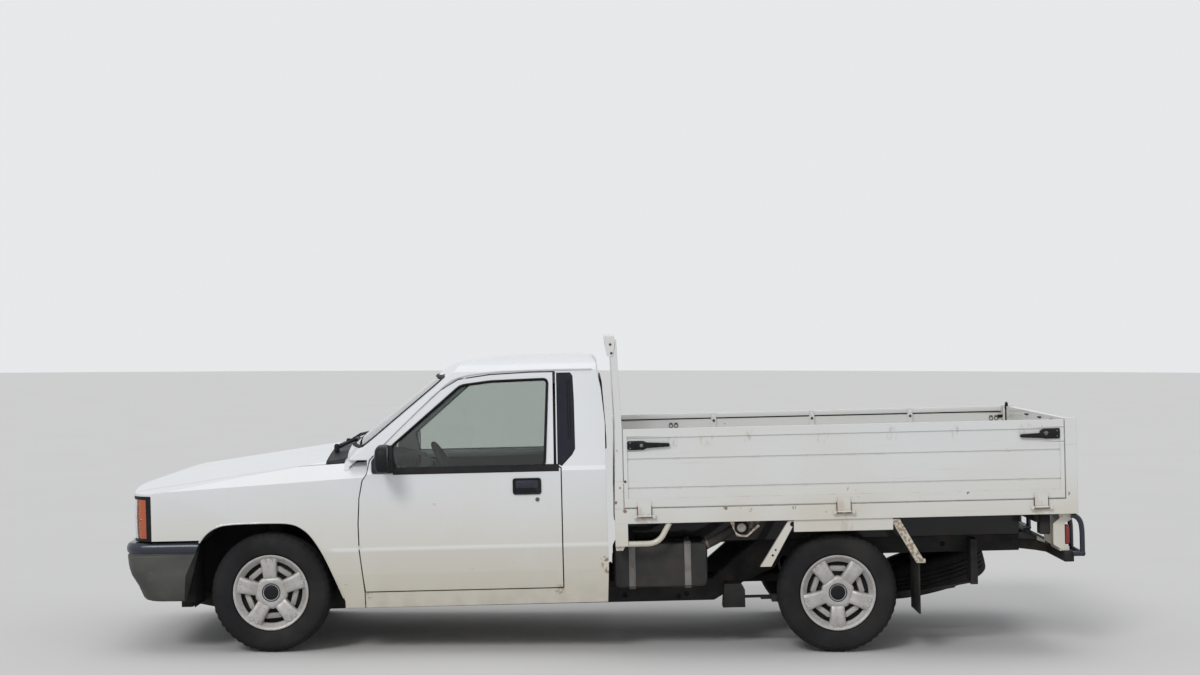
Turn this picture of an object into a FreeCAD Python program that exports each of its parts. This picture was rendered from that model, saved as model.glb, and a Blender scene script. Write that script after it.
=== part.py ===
import FreeCAD, Part
import math
import os
import re
import sys

# Single-cab pickup truck with a flat drop-side tray, in millimetres.
# Row frame: front towards -X, left side towards -Y, +Z up, origin on the ground in the middle of the box.
# Body frame, used for everything that the springs carry: origin on the ground under the front axle,
# x rearwards, z up, nose raised level. The truck sits with its nose lower by the angle "rake".

Vector = FreeCAD.Vector
doc = FreeCAD.newDocument("pickup_truck")

# Driving sizes: alias, value, what it measures
SIZES = [
    ("wheelbase", 2950, "front axle to rear axle"),
    ("rake", 1.346, "nose-down angle of the body, degrees"),
    ("front_track", 1400, "between the middles of the front tyres"),
    ("rear_track", 1400, "between the middles of the rear tyres"),
    ("tyre_radius", 312, "outside of the tread"),
    ("tyre_width", 185, "over the sidewalls"),
    ("rim_radius", 195, "bead seat of the tyre"),
    ("rim_width", 150, "over the rim"),
    ("cover_window_inner", 97, "inner end of the five windows in the wheel cover"),
    ("cover_window_outer", 161, "outer end of the five windows"),
    ("spindle", 20, "radius of the wheel spindle"),
    ("fit", 0.3, "running clearance between seated pieces"),
    ("gap", 6, "shut line round doors, hood and fenders"),
    ("cab_side_wall", 55, "door and side wall below the belt"),
    ("cab_frame_wall", 30, "door frame and pillar above the belt"),
    ("cab_skin", 26, "roof, rear wall and windshield frame"),
    ("belt", 925, "height where the side wall leans in"),
    ("floor_top", 330, "cab floor"),
    ("floor_under", 286.3, "underside of the cab floor"),
    ("clip_skin", 26, "hood and fender thickness"),
    ("hood_half", 697, "half width of the hood"),
    ("hood_rear", 300, "rear edge of the hood"),
    ("hood_top", 1047, "top of the hood on the centre line at its rear edge"),
    ("hood_front_z", 832, "lower edge of the hood's front lip"),
    ("lamp_low", 593, "lower edge of the headlamps"),
    ("lamp_inner", 433, "inner edge of the headlamps"),
    ("rail_y", 400, "middle of a chassis rail from the centre line"),
    ("rail_width", 60, "chassis rail"),
    ("rail_low", 174, "underside of the front rail"),
    ("rail_depth", 112, "front rail"),
    ("rear_rail_low", 403, "underside of the rail over the rear axle"),
    ("rear_rail_depth", 88, "rail over the rear axle"),
    ("rail_rear", 3971, "rear end of the rails"),
    ("tray_front", 1805, "front edge of the tray"),
    ("tray_rear", 4197, "rear edge of the tray"),
    ("tray_half", 850, "half width of the tray"),
    ("base_low", 633, "underside of the tray's side rail"),
    ("bed_top", 712, "load floor"),
    ("bed_sheet", 22, "thickness of the load floor"),
    ("side_low", 718, "lower edge of the dropsides"),
    ("side_top", 1121, "upper edge of the dropsides"),
    ("side_wall", 30, "thickness of a dropside or tailgate"),
    ("side_border", 44, "plain border above and below a dropside's field"),
    ("side_edge", 20, "plain border at the ends of a dropside's field"),
    ("side_recess", 6, "depth of the field in a dropside"),
    ("side_front", 1856, "front end of the dropsides"),
    ("post_front", 4137, "front of the rear corner posts"),
    ("post_width", 50, "rear corner post across the truck"),
    ("hinge_z", 670, "pin of the dropsides and the tailgate"),
    ("hinge_out", 14, "dropside pin outside the tray's side"),
    ("gate_pin_x", 4222, "pin of the tailgate"),
    ("post_foot", 517, "lower end of the tray's front posts"),
    ("side_tube", 30, "bent tubes behind the tray's front posts"),
    ("bar_z", 1589, "cross bar of the headboard"),
    ("bar_size", 35, "square tube of the headboard"),
    ("kingpin_low_y", 640, "lower ball joint from the centre line"),
    ("kingpin_low_z", 205, "lower ball joint"),
    ("strut_top_y", 520, "strut top from the centre line"),
    ("strut_top_z", 690, "strut axis at its top"),
    ("door_hinge_x", 477, "hinge line of the doors"),
    ("door_hinge_y", 822.5, "hinge line of the doors from the centre line"),
    ("hood_hinge_x", 303, "hinge line of the hood"),
    ("hood_hinge_z", 1041, "hinge line of the hood"),
    ("pin", 2.7, "radius of the door and hood hinge pins"),
    ("side_pin", 8, "radius of the barrels of dropsides and tailgate"),
    ("bumper_wall", 85, "thickness of the front bumper"),
    ("spare_x", 3548, "middle of the spare wheel"),
    ("spare_z", 262, "middle of the spare wheel"),
    ("spare_tilt", 14, "spare wheel, lower at its front, degrees"),
]

sheet = doc.addObject("Spreadsheet::Sheet", "Sizes")
for row, (alias, value, meaning) in enumerate(SIZES, 1):
    sheet.set("A%d" % row, meaning)
    sheet.set("B%d" % row, str(value))
    sheet.setAlias("B%d" % row, alias)
doc.recompute()
ALIASES = {alias for alias, value, meaning in SIZES}
NODES = []


class Named:
    """Reads a size from the sheet by its alias."""

    def __getattr__(self, alias):
        return float(sheet.get(alias))


S = Named()


def formula(text):
    """A cell formula from plain words: each alias gets the sheet's name in front."""
    return re.sub(r"[A-Za-z_]\w*", lambda m: "Sizes." + m[0] if m[0] in ALIASES else m[0], str(text))


def number(text):
    """The value of a formula now."""
    return float(sheet.evalExpression(formula(text)))


def bind(obj, prop, text):
    obj.setExpression(prop, formula(text))


# Building blocks whose sizes are bound to the sheet

def box(x0, x1, y0, y1, z0, z1):
    block = doc.addObject("Part::Box", "block")
    for axis, low in zip("xyz", (x0, y0, z0)):
        bind(block, "Placement.Base." + axis, low)
    for prop, low, high in (("Length", x0, x1), ("Width", y0, y1), ("Height", z0, z1)):
        bind(block, prop, "(%s) - (%s)" % (high, low))
    return block


def rod(start, end, radius):
    """A round bar between two points given as formulas."""
    a = Vector(*[number(c) for c in start])
    b = Vector(*[number(c) for c in end])
    bar = doc.addObject("Part::Cylinder", "bar")
    bind(bar, "Radius", radius)
    bar.Height = (b - a).Length
    bar.Placement = FreeCAD.Placement(a, FreeCAD.Rotation(Vector(0, 0, 1), b - a))
    for axis, c in zip("xyz", start):
        bind(bar, "Placement.Base." + axis, c)
    return bar


PLANE_ROLE = {"XZ": "XZ_Plane", "XY": "XY_Plane", "YZ": "YZ_Plane"}


def sketch_on(body, plane, shift, points):
    """A closed outline of straight lines whose corners are bound to formulas."""
    import Sketcher
    sketch = body.newObject("Sketcher::SketchObject", "outline")
    origin = [f for f in body.Origin.OriginFeatures if f.Role == PLANE_ROLE[plane]][0]
    sketch.AttachmentSupport = [(origin, "")]
    sketch.MapMode = "FlatFace"
    sketch.AttachmentOffset = FreeCAD.Placement(Vector(0, 0, number(shift)), FreeCAD.Rotation())
    bind(sketch, "AttachmentOffset.Base.z", shift)
    corners = [Vector(number(u), number(v), 0) for u, v in points]
    count = len(corners)
    for i in range(count):
        sketch.addGeometry(Part.LineSegment(corners[i], corners[(i + 1) % count]), False)
    for i in range(count):
        sketch.addConstraint(Sketcher.Constraint("Coincident", i, 2, (i + 1) % count, 1))
    for i, (corner, (u, v)) in enumerate(zip(corners, points)):
        for kind, value, text in (("DistanceX", corner.x, u), ("DistanceY", corner.y, v)):
            index = sketch.addConstraint(Sketcher.Constraint(kind, -1, 1, i, 1, value))
            bind(sketch, "Constraints[%d]" % index, text)
    return sketch


def pad(plane, points, low, high):
    """A body padded from an outline, from low to high across its plane."""
    body = doc.addObject("PartDesign::Body", "body")
    flip = plane == "XZ"
    shift = "0 - (%s)" % high if flip else low
    sketch = sketch_on(body, plane, shift, points)
    feature = body.newObject("PartDesign::Pad", "pad")
    feature.Profile = sketch
    bind(feature, "Length", "(%s) - (%s)" % (high, low))
    body.Tip = feature
    return body


def join(pieces):
    fused = doc.addObject("Part::MultiFuse", "joined")
    fused.Shapes = pieces
    fused.Refine = True
    return fused


def cut(base, tool):
    result = doc.addObject("Part::Cut", "cut")
    result.Base = base
    result.Tool = tool
    return result


def group(pieces):
    held = doc.addObject("Part::Compound", "group")
    held.Links = pieces
    return held


def mirrored(source):
    """The same piece on the truck's other side."""
    other = doc.addObject("Part::Mirroring", "mirrored")
    other.Source = source
    other.Normal = Vector(0, 1, 0)
    return other


def feature(shape):
    """A piece whose shape is made with Part's own functions."""
    piece = doc.addObject("Part::Feature", "shaped")
    piece.Shape = shape if shape.Placement.isIdentity() else Part.makeCompound([shape])
    return piece


def node(label, piece, carried=True):
    """Name a sub-part. What the springs carry is tipped by the rake, the rest stands on the ground."""
    piece.Label = label
    if carried:
        piece.Placement = FreeCAD.Placement(Vector(0, 0, 0), FreeCAD.Rotation(Vector(0, -1, 0), S.rake))
        bind(piece, "Placement.Rotation.Angle", "rake")
    NODES.append(piece)
    return piece


def node_pair(label, left, carried=True):
    """A left piece and its mirror image, as two sub-parts."""
    node(label + "_left", left, carried)
    node(label + "_right", mirrored(left), False)


# Shapes made with Part's own functions, for the curved panels

def wire(points, closed=True):
    """Points joined by lines; an item ("arc", middle, end) bends to its end through its middle."""
    edges = []
    start = points[0]
    here = Vector(*start)
    for item in points[1:]:
        if item[0] == "arc":
            middle, end = Vector(*item[1]), Vector(*item[2])
            edges.append(Part.Arc(here, middle, end).toShape())
        else:
            end = Vector(*item)
            edges.append(Part.makeLine(here, end))
        here = end
    if closed and here.distanceToPoint(Vector(*start)) > 1e-6:
        edges.append(Part.makeLine(here, Vector(*start)))
    return Part.Wire(edges)


def spread(points, axis, at=0.0):
    """Put two-column outline points into space: the named axis is the one that the outline lacks."""
    def place(p):
        u, v = p
        return {"x": (at, u, v), "y": (u, at, v), "z": (u, v, at)}[axis]
    result = []
    for item in points:
        if item[0] == "arc":
            result.append(("arc", place(item[1]), place(item[2])))
        else:
            result.append(place(item))
    return result


def prism(points, axis, low, high, inset=0.0):
    """An outline stretched along one axis, its walls moved inwards by inset."""
    outline = wire(spread(points, axis, low))
    if inset:
        outline = outline.makeOffset2D(-inset)
    way = {"x": Vector(1, 0, 0), "y": Vector(0, 1, 0), "z": Vector(0, 0, 1)}[axis]
    return Part.Face(outline).extrude(way * (high - low))


def polygon(count, radius):
    """Corners of a regular outline."""
    turn = 2 * math.pi / count
    return [(radius * math.cos(turn * i), radius * math.sin(turn * i)) for i in range(count)]


def straight(points):
    """The same outline with each arc as two chords."""
    result = []
    for item in points:
        result += list(item[1:]) if item[0] == "arc" else [item]
    return result


def stick(radius, length, start, way, count):
    """A bar with flat sides between two places."""
    bar = prism(polygon(count, radius), "z", 0, length)
    bar.Placement = FreeCAD.Placement(start, FreeCAD.Rotation(Vector(0, 0, 1), way))
    return bar


def fuse(shapes):
    return shapes[0].fuse(shapes[1:]) if len(shapes) > 1 else shapes[0]


def block(x0, x1, y0, y1, z0, z1):
    return Part.makeBox(x1 - x0, y1 - y0, z1 - z0, Vector(x0, y0, z0))


def both(half):
    """A half section from the centre line outwards, completed on the other side."""
    return half + [(-y, z) for y, z in reversed(half)]


# Cab: one closed volume, from which walls, doors and glass are cut

# Side outline, body frame: x, z
CAB_SIDE = [
    (402, 222), (1760, 224), (1768, 409), (1766, 630), (1763, 918), (1764, 1153), (1747, 1328), (1724, 1441),
    ("arc", (1713, 1482), (1685, 1499)), ("arc", (1324, 1506), (947, 1469)),
    ("arc", (908, 1452), (869, 1424)), (392, 1060), (402, 980),
]
# Half cross-section of the cab's outside: y, z
CAB_SECTION = [
    (772, 216), (808, 400), (822, 527), (817, 640), (806, 915), (785, 937), (652, 1400), (643, 1432),
]
ROOF_ARC = [("arc", (560, 1484), (400, 1496)), ("arc", (0, 1508), (-400, 1496)), ("arc", (-560, 1484), (-643, 1432))]
# Door outline, left side: x, z
DOOR_SIDE = [
    (504, 308), (1529, 308), (1529, 926), (1494, 940), (1494, 1421), (1370, 1421), (1165, 1413), (1000, 1392),
    (906, 1338), (750, 1198), (603, 1057), (539, 987), (523, 916), (502, 885), (484, 793), (477, 661), (480, 529),
    (496, 370),
]
OPENING_SIDE = [(x + 8, z) if x == 1494 else (x, z) for x, z in DOOR_SIDE]
# Door window: x, z
WINDOW_SIDE = [
    (660, 940), (1446, 940), (1467, 1386), (1170, 1380), (1012, 1362), (644, 1050),
]
# Black panel behind the door window: x, z
QUARTER_SIDE = [
    (1536, 936), (1591, 993), (1607, 1023), (1605, 1280), (1600, 1400), (1588, 1418), (1514, 1418), (1514, 948),
]
# Windshield and rear window seen from the front: half outlines y, z
SCREEN_HALF = [(705, 1052), (596, 1408)]
REAR_WINDOW_HALF = [(600, 1010), (556, 1380)]

BEYOND = 3000.0
SCREEN_BOW_RADIUS = 3700.0
SCREEN_FOOT = (392.0, 1060.0)
SCREEN_HEAD = (869.0, 1424.0)


def section_outline():
    left = [(-y, z) for y, z in reversed(CAB_SECTION)]
    return CAB_SECTION + ROOF_ARC + left[1:]


def bow(half, radius):
    """How far an arc falls back at a distance from its middle."""
    return radius - math.sqrt(radius * radius - half * half)


def screen_prism(inset, chords=0):
    """Everything behind the windshield, a piece of a cylinder that lies along its slope, or so many flat strips."""
    slope = Vector(SCREEN_HEAD[0] - SCREEN_FOOT[0], 0, SCREEN_HEAD[1] - SCREEN_FOOT[1]).normalize()
    inward = Vector(slope.z, 0, -slope.x)
    start = Vector(SCREEN_FOOT[0], 0, SCREEN_FOOT[1]) - slope * BEYOND + inward * inset
    half = 900.0
    fall = bow(half, SCREEN_BOW_RADIUS)
    deep = 2 * BEYOND
    across = Vector(0, half, 0)
    front = [start - across + inward * fall, start, start + across + inward * fall]
    back = [start + across + inward * deep, start - across + inward * deep]
    arc = Part.Arc(*front)
    bowed = Part.makePolygon(arc.discretize(chords + 1)) if chords else arc.toShape()
    sides = Part.makePolygon([front[2], back[0], back[1], front[0]])
    return Part.Face(Part.Wire(bowed.Edges + sides.Edges)).extrude(slope * 2 * BEYOND)


def cab_volume(inset, side_inset):
    side = prism(CAB_SIDE, "y", -BEYOND, BEYOND, inset)
    across = prism(section_outline(), "x", 0, BEYOND, side_inset)
    return side.common(across).common(screen_prism(inset))


def cab_room(inset, side_inset):
    """The hollow of the cab, behind walls of flat pieces."""
    side = prism(straight(CAB_SIDE), "y", -BEYOND, BEYOND, inset)
    return side.common(frame_prism(side_inset)).common(screen_prism(inset, 6))


def cab_layer(outer, inner, side_outer, side_inner):
    """The layer of the cab's wall between two depths."""
    return cab_volume(outer, side_outer).cut(cab_volume(inner, side_inner))


def section_prism(inset):
    return prism(section_outline(), "x", 0, BEYOND, inset)


def frame_prism(inset):
    return prism(straight(section_outline()), "x", 0, BEYOND, inset)


def side_region(points, grow=0.0):
    """A side-view outline stretched over the left half of the truck."""
    return prism(points, "y", -1000, -400, -grow)


def above_belt():
    return block(0, BEYOND, -BEYOND, BEYOND, S.belt, BEYOND)


def below_belt():
    return block(0, BEYOND, -BEYOND, BEYOND, 0, S.belt)


# Front clip: hood and fenders

# Half section of the sides: y, z
CLIP_FLANK = [(768, 204), (808, 400), (822, 527), (817, 640), (805, 902), (791, 1200)]
# Half section of the sloping shoulders and of the crown, each at one x, with its rise per millimetre of length
CLIP_SHOULDER = {"x": 480.0, "rise": 0.0504, "half": [(900, 0), (900, 832)], "peak": 1485.0}
CLIP_CROWN = {"x": 329.0, "rise": 0.13, "fall": 107.0, "half": 900.0}
CLIP_SIDE = [
    (-736, 560), (-736, 804), (-726, 838), ("arc", (-704, 866), (-660, 889)),
    ("arc", (-340, 972), (0, 1020)), (600, 1096), (600, 210), (-700, 210),
]
CLIP_PLAN = [
    (600, -826), (-560, -808), ("arc", (-664, -768), (-704, -640)), ("arc", (-735, 0), (-704, 640)),
    ("arc", (-664, 768), (-560, 808)), (600, 826),
]
ARCH_SIDE = [
    (-400, 150), (-400, 560), (-352, 584), (-311, 633), (-251, 666), (-171, 677), (27, 679), (126, 672),
    (185, 646), (234, 600), (291, 510), (348, 379), (395, 259), (395, 150),
]
# The liner stands off the arch at its rear, for the tyre at full lock
LINER_SIDE = ARCH_SIDE[:9] + [(262, 606), (330, 525), (376, 395)] + ARCH_SIDE[12:]
FENDER_REAR = [
    (-1000, 222), (496, 222), (496, 302), (490, 370), (474, 529), (471, 661), (478, 793), (496, 885), (517, 916),
    (533, 987), (533, 1200), (-1000, 1200),
]


def sloped_prism(points, x, rise, inset):
    """A cross-section at x, stretched forwards and rearwards along a line that rises."""
    outline = wire(spread(points, "x", x))
    if inset:
        outline = outline.makeOffset2D(-inset)
    outline.translate(Vector(1, 0, rise) * BEYOND)
    return Part.Face(outline).extrude(Vector(-1, 0, -rise) * 2 * BEYOND)


def crown_prism(inset):
    """Everything under the hood's crown, a cylinder that lies along its slope."""
    slope = Vector(1, 0, CLIP_CROWN["rise"]).normalize()
    down = Vector(slope.z, 0, -slope.x)
    start = Vector(CLIP_CROWN["x"], 0, S.hood_top) - slope * BEYOND + down * inset
    across = Vector(0, CLIP_CROWN["half"], 0)
    edge = start + down * CLIP_CROWN["fall"]
    arc = Part.Arc(edge - across, start, edge + across).toShape()
    right, left = edge + across, edge - across
    deep = down * BEYOND
    sides = [Part.makeLine(right, right + deep), Part.makeLine(right + deep, left + deep),
             Part.makeLine(left + deep, left)]
    return Part.Face(Part.Wire([arc] + sides)).extrude(slope * 2 * BEYOND)


def clip_volume(inset):
    """The closed form of hood and fenders; its inner layers have flat pieces in place of arcs."""
    lines = straight if inset else list
    flank = prism(both(CLIP_FLANK), "x", -BEYOND, BEYOND, inset)
    low = CLIP_SHOULDER["half"]
    roof = low + [(0, CLIP_SHOULDER["peak"])] + [(-y, z) for y, z in reversed(low)]
    shoulder = sloped_prism(roof, CLIP_SHOULDER["x"], CLIP_SHOULDER["rise"], inset)
    crown = crown_prism(inset)
    side = prism(lines(CLIP_SIDE), "y", -BEYOND, BEYOND, inset)
    plan = prism(lines(CLIP_PLAN), "z", 0, BEYOND, inset)
    return plan.common(side).common(flank).common(shoulder).common(crown)


def cut_all(shape, tools):
    for tool in tools:
        shape = shape.cut(tool)
    return shape


def mirror_shape(shape):
    return shape.mirror(Vector(0, 0, 0), Vector(0, 1, 0))


def with_mirror(shape):
    return [shape, mirror_shape(shape)]


def hood_region(grow):
    return block(-900, S.hood_rear + grow, -S.hood_half - grow, S.hood_half + grow, S.hood_front_z - grow, 1300)


def lamp_region(grow):
    return block(-900, -600 + grow, -900, -S.lamp_inner + grow, S.lamp_low - grow, S.hood_front_z - S.gap + grow)


def front_clip():
    outer = clip_volume(0)
    inner = clip_volume(S.clip_skin)
    shell = outer.cut(inner)
    pin = Part.makeCylinder(S.pin, 120, Vector(S.hood_hinge_x, -60, S.hood_hinge_z), Vector(0, 1, 0))
    leaf = block(S.hood_rear - 6, S.hood_hinge_x, -60, 60, S.hood_hinge_z - S.pin, S.hood_hinge_z)
    node("hood", feature(fuse([shell.common(hood_region(0)), pin, leaf])))
    keep = prism(FENDER_REAR, "y", -1000, -S.hood_half - S.gap)
    nose = block(-900, -352, -1000, 0, 0, 595)
    front = block(-900, -640, -S.lamp_inner - 60, 0, 0, 1300)
    arch = side_region(ARCH_SIDE)
    fender = cut_all(shell.common(keep), [nose, arch, lamp_region(S.fit), front])
    node_pair("fender", feature(fender))
    lamps = outer.common(lamp_region(0)).cut(block(-625, 0, -742, 0, 0, 1300))
    amber = block(-900, 0, -900, -748, 0, 1300)
    clear = lamps.cut(block(-900, 0, -900, -748 + S.fit, 0, 1300))
    node("headlamps", group([feature(s) for s in with_mirror(clear)]))
    node("corner_lamps", group([feature(s) for s in with_mirror(lamps.common(amber))]))
    half = S.lamp_inner - S.fit
    panel = block(-900, 0, -half, half, S.lamp_low, S.hood_front_z - S.gap)
    grille = outer.common(panel).common(block(-900, -690, -900, 900, 0, 1300))
    slots = [block(-900, -500, 43 - half, half - 43, z, z + 22) for z in range(616, 800, 34)]
    node("grille", feature(cut_all(grille, slots)))
    return outer, shell


def cab_openings():
    """What the doors, the fenders, the trims and the panes take out of the cab's wall."""
    hollow = side_region(OPENING_SIDE, S.gap)
    hollow = hollow.cut(frame_prism(S.cab_side_wall + 2).common(below_belt()))
    hollow = hollow.cut(frame_prism(S.cab_frame_wall + 2).common(above_belt()))
    ahead = prism([(300, 100), (502, 100), (502, 302), (496, 370), (480, 529), (477, 661), (484, 793), (502, 885),
                   (523, 916), (523, 990), (300, 990)], "y", -1000, -600).cut(section_prism(32))
    quarter = cab_volume(0, 0).common(side_region(QUARTER_SIDE)).cut(section_prism(8))
    screen = prism(both(SCREEN_HALF), "x", 200, 1000)
    rear_pane = prism(both(REAR_WINDOW_HALF), "x", 1650, 1850)
    under = block(0, BEYOND, -690, 690, 0, S.floor_under)
    tunnel = block(300, 900, -150, 150, 0, 440)
    nose = clip_outer.cut(clip_volume(S.clip_skin + 2)).common(block(300, 560, -1000, 1000, 0, 1000))
    tools = [hollow, mirror_shape(hollow), ahead, mirror_shape(ahead), screen, rear_pane, under, tunnel, nose]
    return tools + with_mirror(quarter), quarter


def cab():
    outer = cab_volume(0, 0)
    low = cab_room(S.cab_skin, S.cab_side_wall).common(below_belt())
    high = cab_room(S.cab_skin, S.cab_frame_wall).common(above_belt())
    inner = low.fuse(high).common(block(0, BEYOND, -BEYOND, BEYOND, S.floor_top, BEYOND))
    shell = outer.cut(inner).fuse(block(410, 926, -176, 176, S.floor_under, 466))
    tools, quarter = cab_openings()
    body = cut_all(shell, tools)
    arm = block(262, 425, -640, -600, 880, 1000).common(clip_volume(S.clip_skin + S.fit))
    leaf = side_region(DOOR_SIDE, S.gap + 4).cut(side_region(DOOR_SIDE, S.fit))
    leaves = [leaf.common(block(400, 520, -780, -766, z, z + 60)) for z in (440, 760)]
    extras = []
    for piece in [arm] + leaves:
        extras += with_mirror(piece)
    node("cab_body", feature(body.fuse(extras).removeSplitter()))
    region = side_region(DOOR_SIDE)
    door_low = outer.common(region).cut(frame_prism(S.cab_side_wall)).common(below_belt())
    door_high = outer.common(region).cut(frame_prism(S.cab_frame_wall)).common(above_belt())
    window = side_region(WINDOW_SIDE)
    pin = Part.makeCylinder(S.pin, 20, Vector(S.door_hinge_x, -S.door_hinge_y, 530))
    tab = block(S.door_hinge_x, S.door_hinge_x + 12, -S.door_hinge_y, 5 - S.door_hinge_y, 530, 550)
    door = door_low.fuse(door_high).cut(window).fuse([pin, tab])
    node_pair("door", feature(door))
    pane = cab_layer(0, 40, 10, 15).common(side_region(WINDOW_SIDE, -S.fit))
    node_pair("door_glass", feature(pane))
    node("quarter_trims", group([feature(s) for s in with_mirror(quarter)]))
    glass = cab_volume(6, 0).cut(cab_volume(12, 0))
    node("windshield", feature(glass.common(prism(both(SCREEN_HALF), "x", 200, 1000, S.fit))))
    glass = cab_volume(10, 0).cut(cab_volume(15, 0))
    node("rear_window", feature(glass.common(prism(both(REAR_WINDOW_HALF), "x", 1650, 1850, S.fit))))
    return outer


clip_outer, clip_shell = front_clip()
cab_outer = cab()


def cowl():
    """Black panel between the hood and the windshield, with the two wipers."""
    layer = clip_outer.cut(clip_volume(14))
    strip = block(S.hood_rear + S.gap, 700, -S.hood_half, S.hood_half, 0.75 * S.hood_top, 1300)
    panel = layer.common(strip).cut(cab_volume(-1, -1))
    return feature(panel)


node("cowl_panel", cowl())


def front_panel():
    """Panel behind lamps and grille, open in front of the radiator, with legs to the rails."""
    back = -625 + S.fit
    plate = block(back, -612, -690, 690, S.lamp_low + 4, 800).common(clip_volume(S.clip_skin + 6))
    plate = plate.cut(block(-700, -600, -310, 310, S.lamp_low + 20, 770))
    rail_top = S.rail_low + S.rail_depth + S.fit
    legs = []
    for sign in (-1, 1):
        y = sign * S.rail_y
        legs.append(block(back, -612, y - 25, y + 25, rail_top, S.lamp_low + 20))
        legs.append(block(back, -520, y - 25, y + 25, rail_top, rail_top + 40))
    return feature(fuse([plate] + legs))


node("front_panel", front_panel())


def wheel_housing():
    """Liner over a front wheel with its inner wall, and the panel up to the hood's edge."""
    inner_wall = -S.rail_y - S.rail_width / 2 + 2
    shell = prism(LINER_SIDE, "y", -900, inner_wall + 5, -4).common(clip_volume(S.clip_skin + S.fit))
    apron = block(-590, 395, -700, -692, 300, 1100).common(clip_volume(S.clip_skin + S.gap))
    shape = shell.fuse(apron).cut(prism(LINER_SIDE, "y", -950, inner_wall))
    shape = shape.cut(block(-600, 600, -950, 0, 0, 210))
    beside = -S.rail_y - S.rail_width / 2 - S.fit
    shape = shape.cut(block(-600, 600, beside, 0, 0, S.rail_low + S.rail_depth + S.fit))
    return shape.cut(block(-600, -340, -950, -S.hood_half - 8, 0, 600))


node_pair("wheel_housing", feature(wheel_housing()))


# Handles and mirrors ride on the doors

def door_furniture():
    handle = prism([(1279, 808), (1292, 795), (1414, 795), (1427, 808), (1427, 867), (1414, 880), (1292, 880),
                    (1279, 867)], "y", -828, -811)
    cab_side = section_prism(0)
    node_pair("door_handle", feature(handle.cut(cab_side)))
    corner = prism([(545, 985), (548, 918), (656, 918), (640, 1048), (603, 1050)], "y", -900, -600)
    corner = corner.common(section_prism(-8)).cut(section_prism(0))
    arm = block(585, 625, -830, -780, 945, 975).cut(section_prism(0))
    head = prism([(-1010, 932), (-1024, 965), (-1025, 1030), (-1005, 1068), (-862, 1080), (-846, 1056), (-840, 1000),
                  (-846, 935)], "x", 572, 650)
    face = prism([(-1000, 945), (-1010, 1000), (-995, 1055), (-870, 1064), (-858, 1000), (-858, 948)], "x", 560, 573)
    head = head.fuse(face)
    node_pair("mirror", feature(corner.fuse([arm, block(590, 620, -870, -780, 950, 980).cut(section_prism(0)),
                                             head])))


door_furniture()


# Inside the cab

def interior():
    dash = prism([(400, 560), (700, 560), (735, 700), (760, 880), (700, 935), (560, 970), (400, 960)],
                 "y", -690, 690)
    dash = dash.common(cab_room(S.cab_skin + S.fit, 60))
    away = wheel_axis()
    foot = WHEEL_CENTRE - away * (30 + S.fit)
    column = Part.makeCylinder(25, 230, foot, away * -1)
    node("dashboard", feature(dash.fuse(column)))
    cushion = prism([(1090, S.floor_top + S.fit), (1560, S.floor_top + S.fit), (1600, 560), (1120, 600), (1085, 560)], "y", -700, 700)
    back = prism([(1500, 560), (1600, 560), (1700, 1080), (1620, 1085)], "y", -690, 690)
    heads = [block(1630, 1700, y - 130, y + 130, 1085, 1240) for y in (-350, 350)]
    node("seat", feature(cushion.fuse([back] + heads).removeSplitter()))


# Steering wheel: ring, hub and three spokes on a slanting column
WHEEL_CENTRE = Vector(925, -350, 890)
WHEEL_TILT = 30.0


def wheel_axis():
    tilt = math.radians(WHEEL_TILT)
    return Vector(math.cos(tilt), 0, math.sin(tilt))


interior()


def steering_wheel():
    ring = prism(polygon(24, 190), "z", -14, 12).cut(prism(polygon(24, 162), "z", -20, 20))
    hub = prism(polygon(16, 55), "z", -30, 10)
    spokes = []
    for angle in (90, 210, 330):
        spoke = Part.makeBox(125, 30, 12, Vector(45, -15, -10))
        spoke.rotate(Vector(0, 0, 0), Vector(0, 0, 1), angle)
        spokes.append(spoke)
    shape = ring.fuse([hub] + spokes)
    shape.rotate(Vector(0, 0, 0), Vector(0, 1, 0), 90 - WHEEL_TILT)
    shape.translate(WHEEL_CENTRE)
    return feature(shape)


node("steering_wheel", steering_wheel())


# Front bumper

BUMPER_KNEE = 430.0


def bumper_plan(rear):
    return [(rear, -805), (-650, -795), ("arc", (-718, -757), (-748, -640)), (-768, -480), (-784, -250), (-790, 0),
            (-784, 250), (-768, 480), (-748, 640), ("arc", (-718, 757), (-650, 795)), (rear, 805)]


def bumper():
    """A ring that is upright above its knee and draws back below it."""
    side = [(-795, 560), (-780, 585), (-740, 590), (-417, 588), (-353, 578), (-379, 514), (-426, 416), (-439, 277),
            (-1000, 277), (-1000, 530), (-795, 530)]
    outline = Part.Face(wire(spread(straight(bumper_plan(-340)), "z", BUMPER_KNEE)))
    below = outline.extrude(Vector(0.52, 0, -1) * BUMPER_KNEE)
    outer = outline.extrude(Vector(0, 0, 500)).fuse(below).common(prism(side, "y", -BEYOND, BEYOND))
    inner = prism(straight(bumper_plan(0)), "z", 0, 1000, S.bumper_wall)
    brackets = []
    for sign in (-1, 1):
        y = sign * S.rail_y
        brackets.append(block(-697, -625, y - 25, y + 25, 300, 330))
    low = block(-900, 0, -900, 900, 0, 200)
    return feature(fuse([outer.cut(inner)] + brackets).cut(low))


node("front_bumper", bumper())


# Chassis

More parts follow.
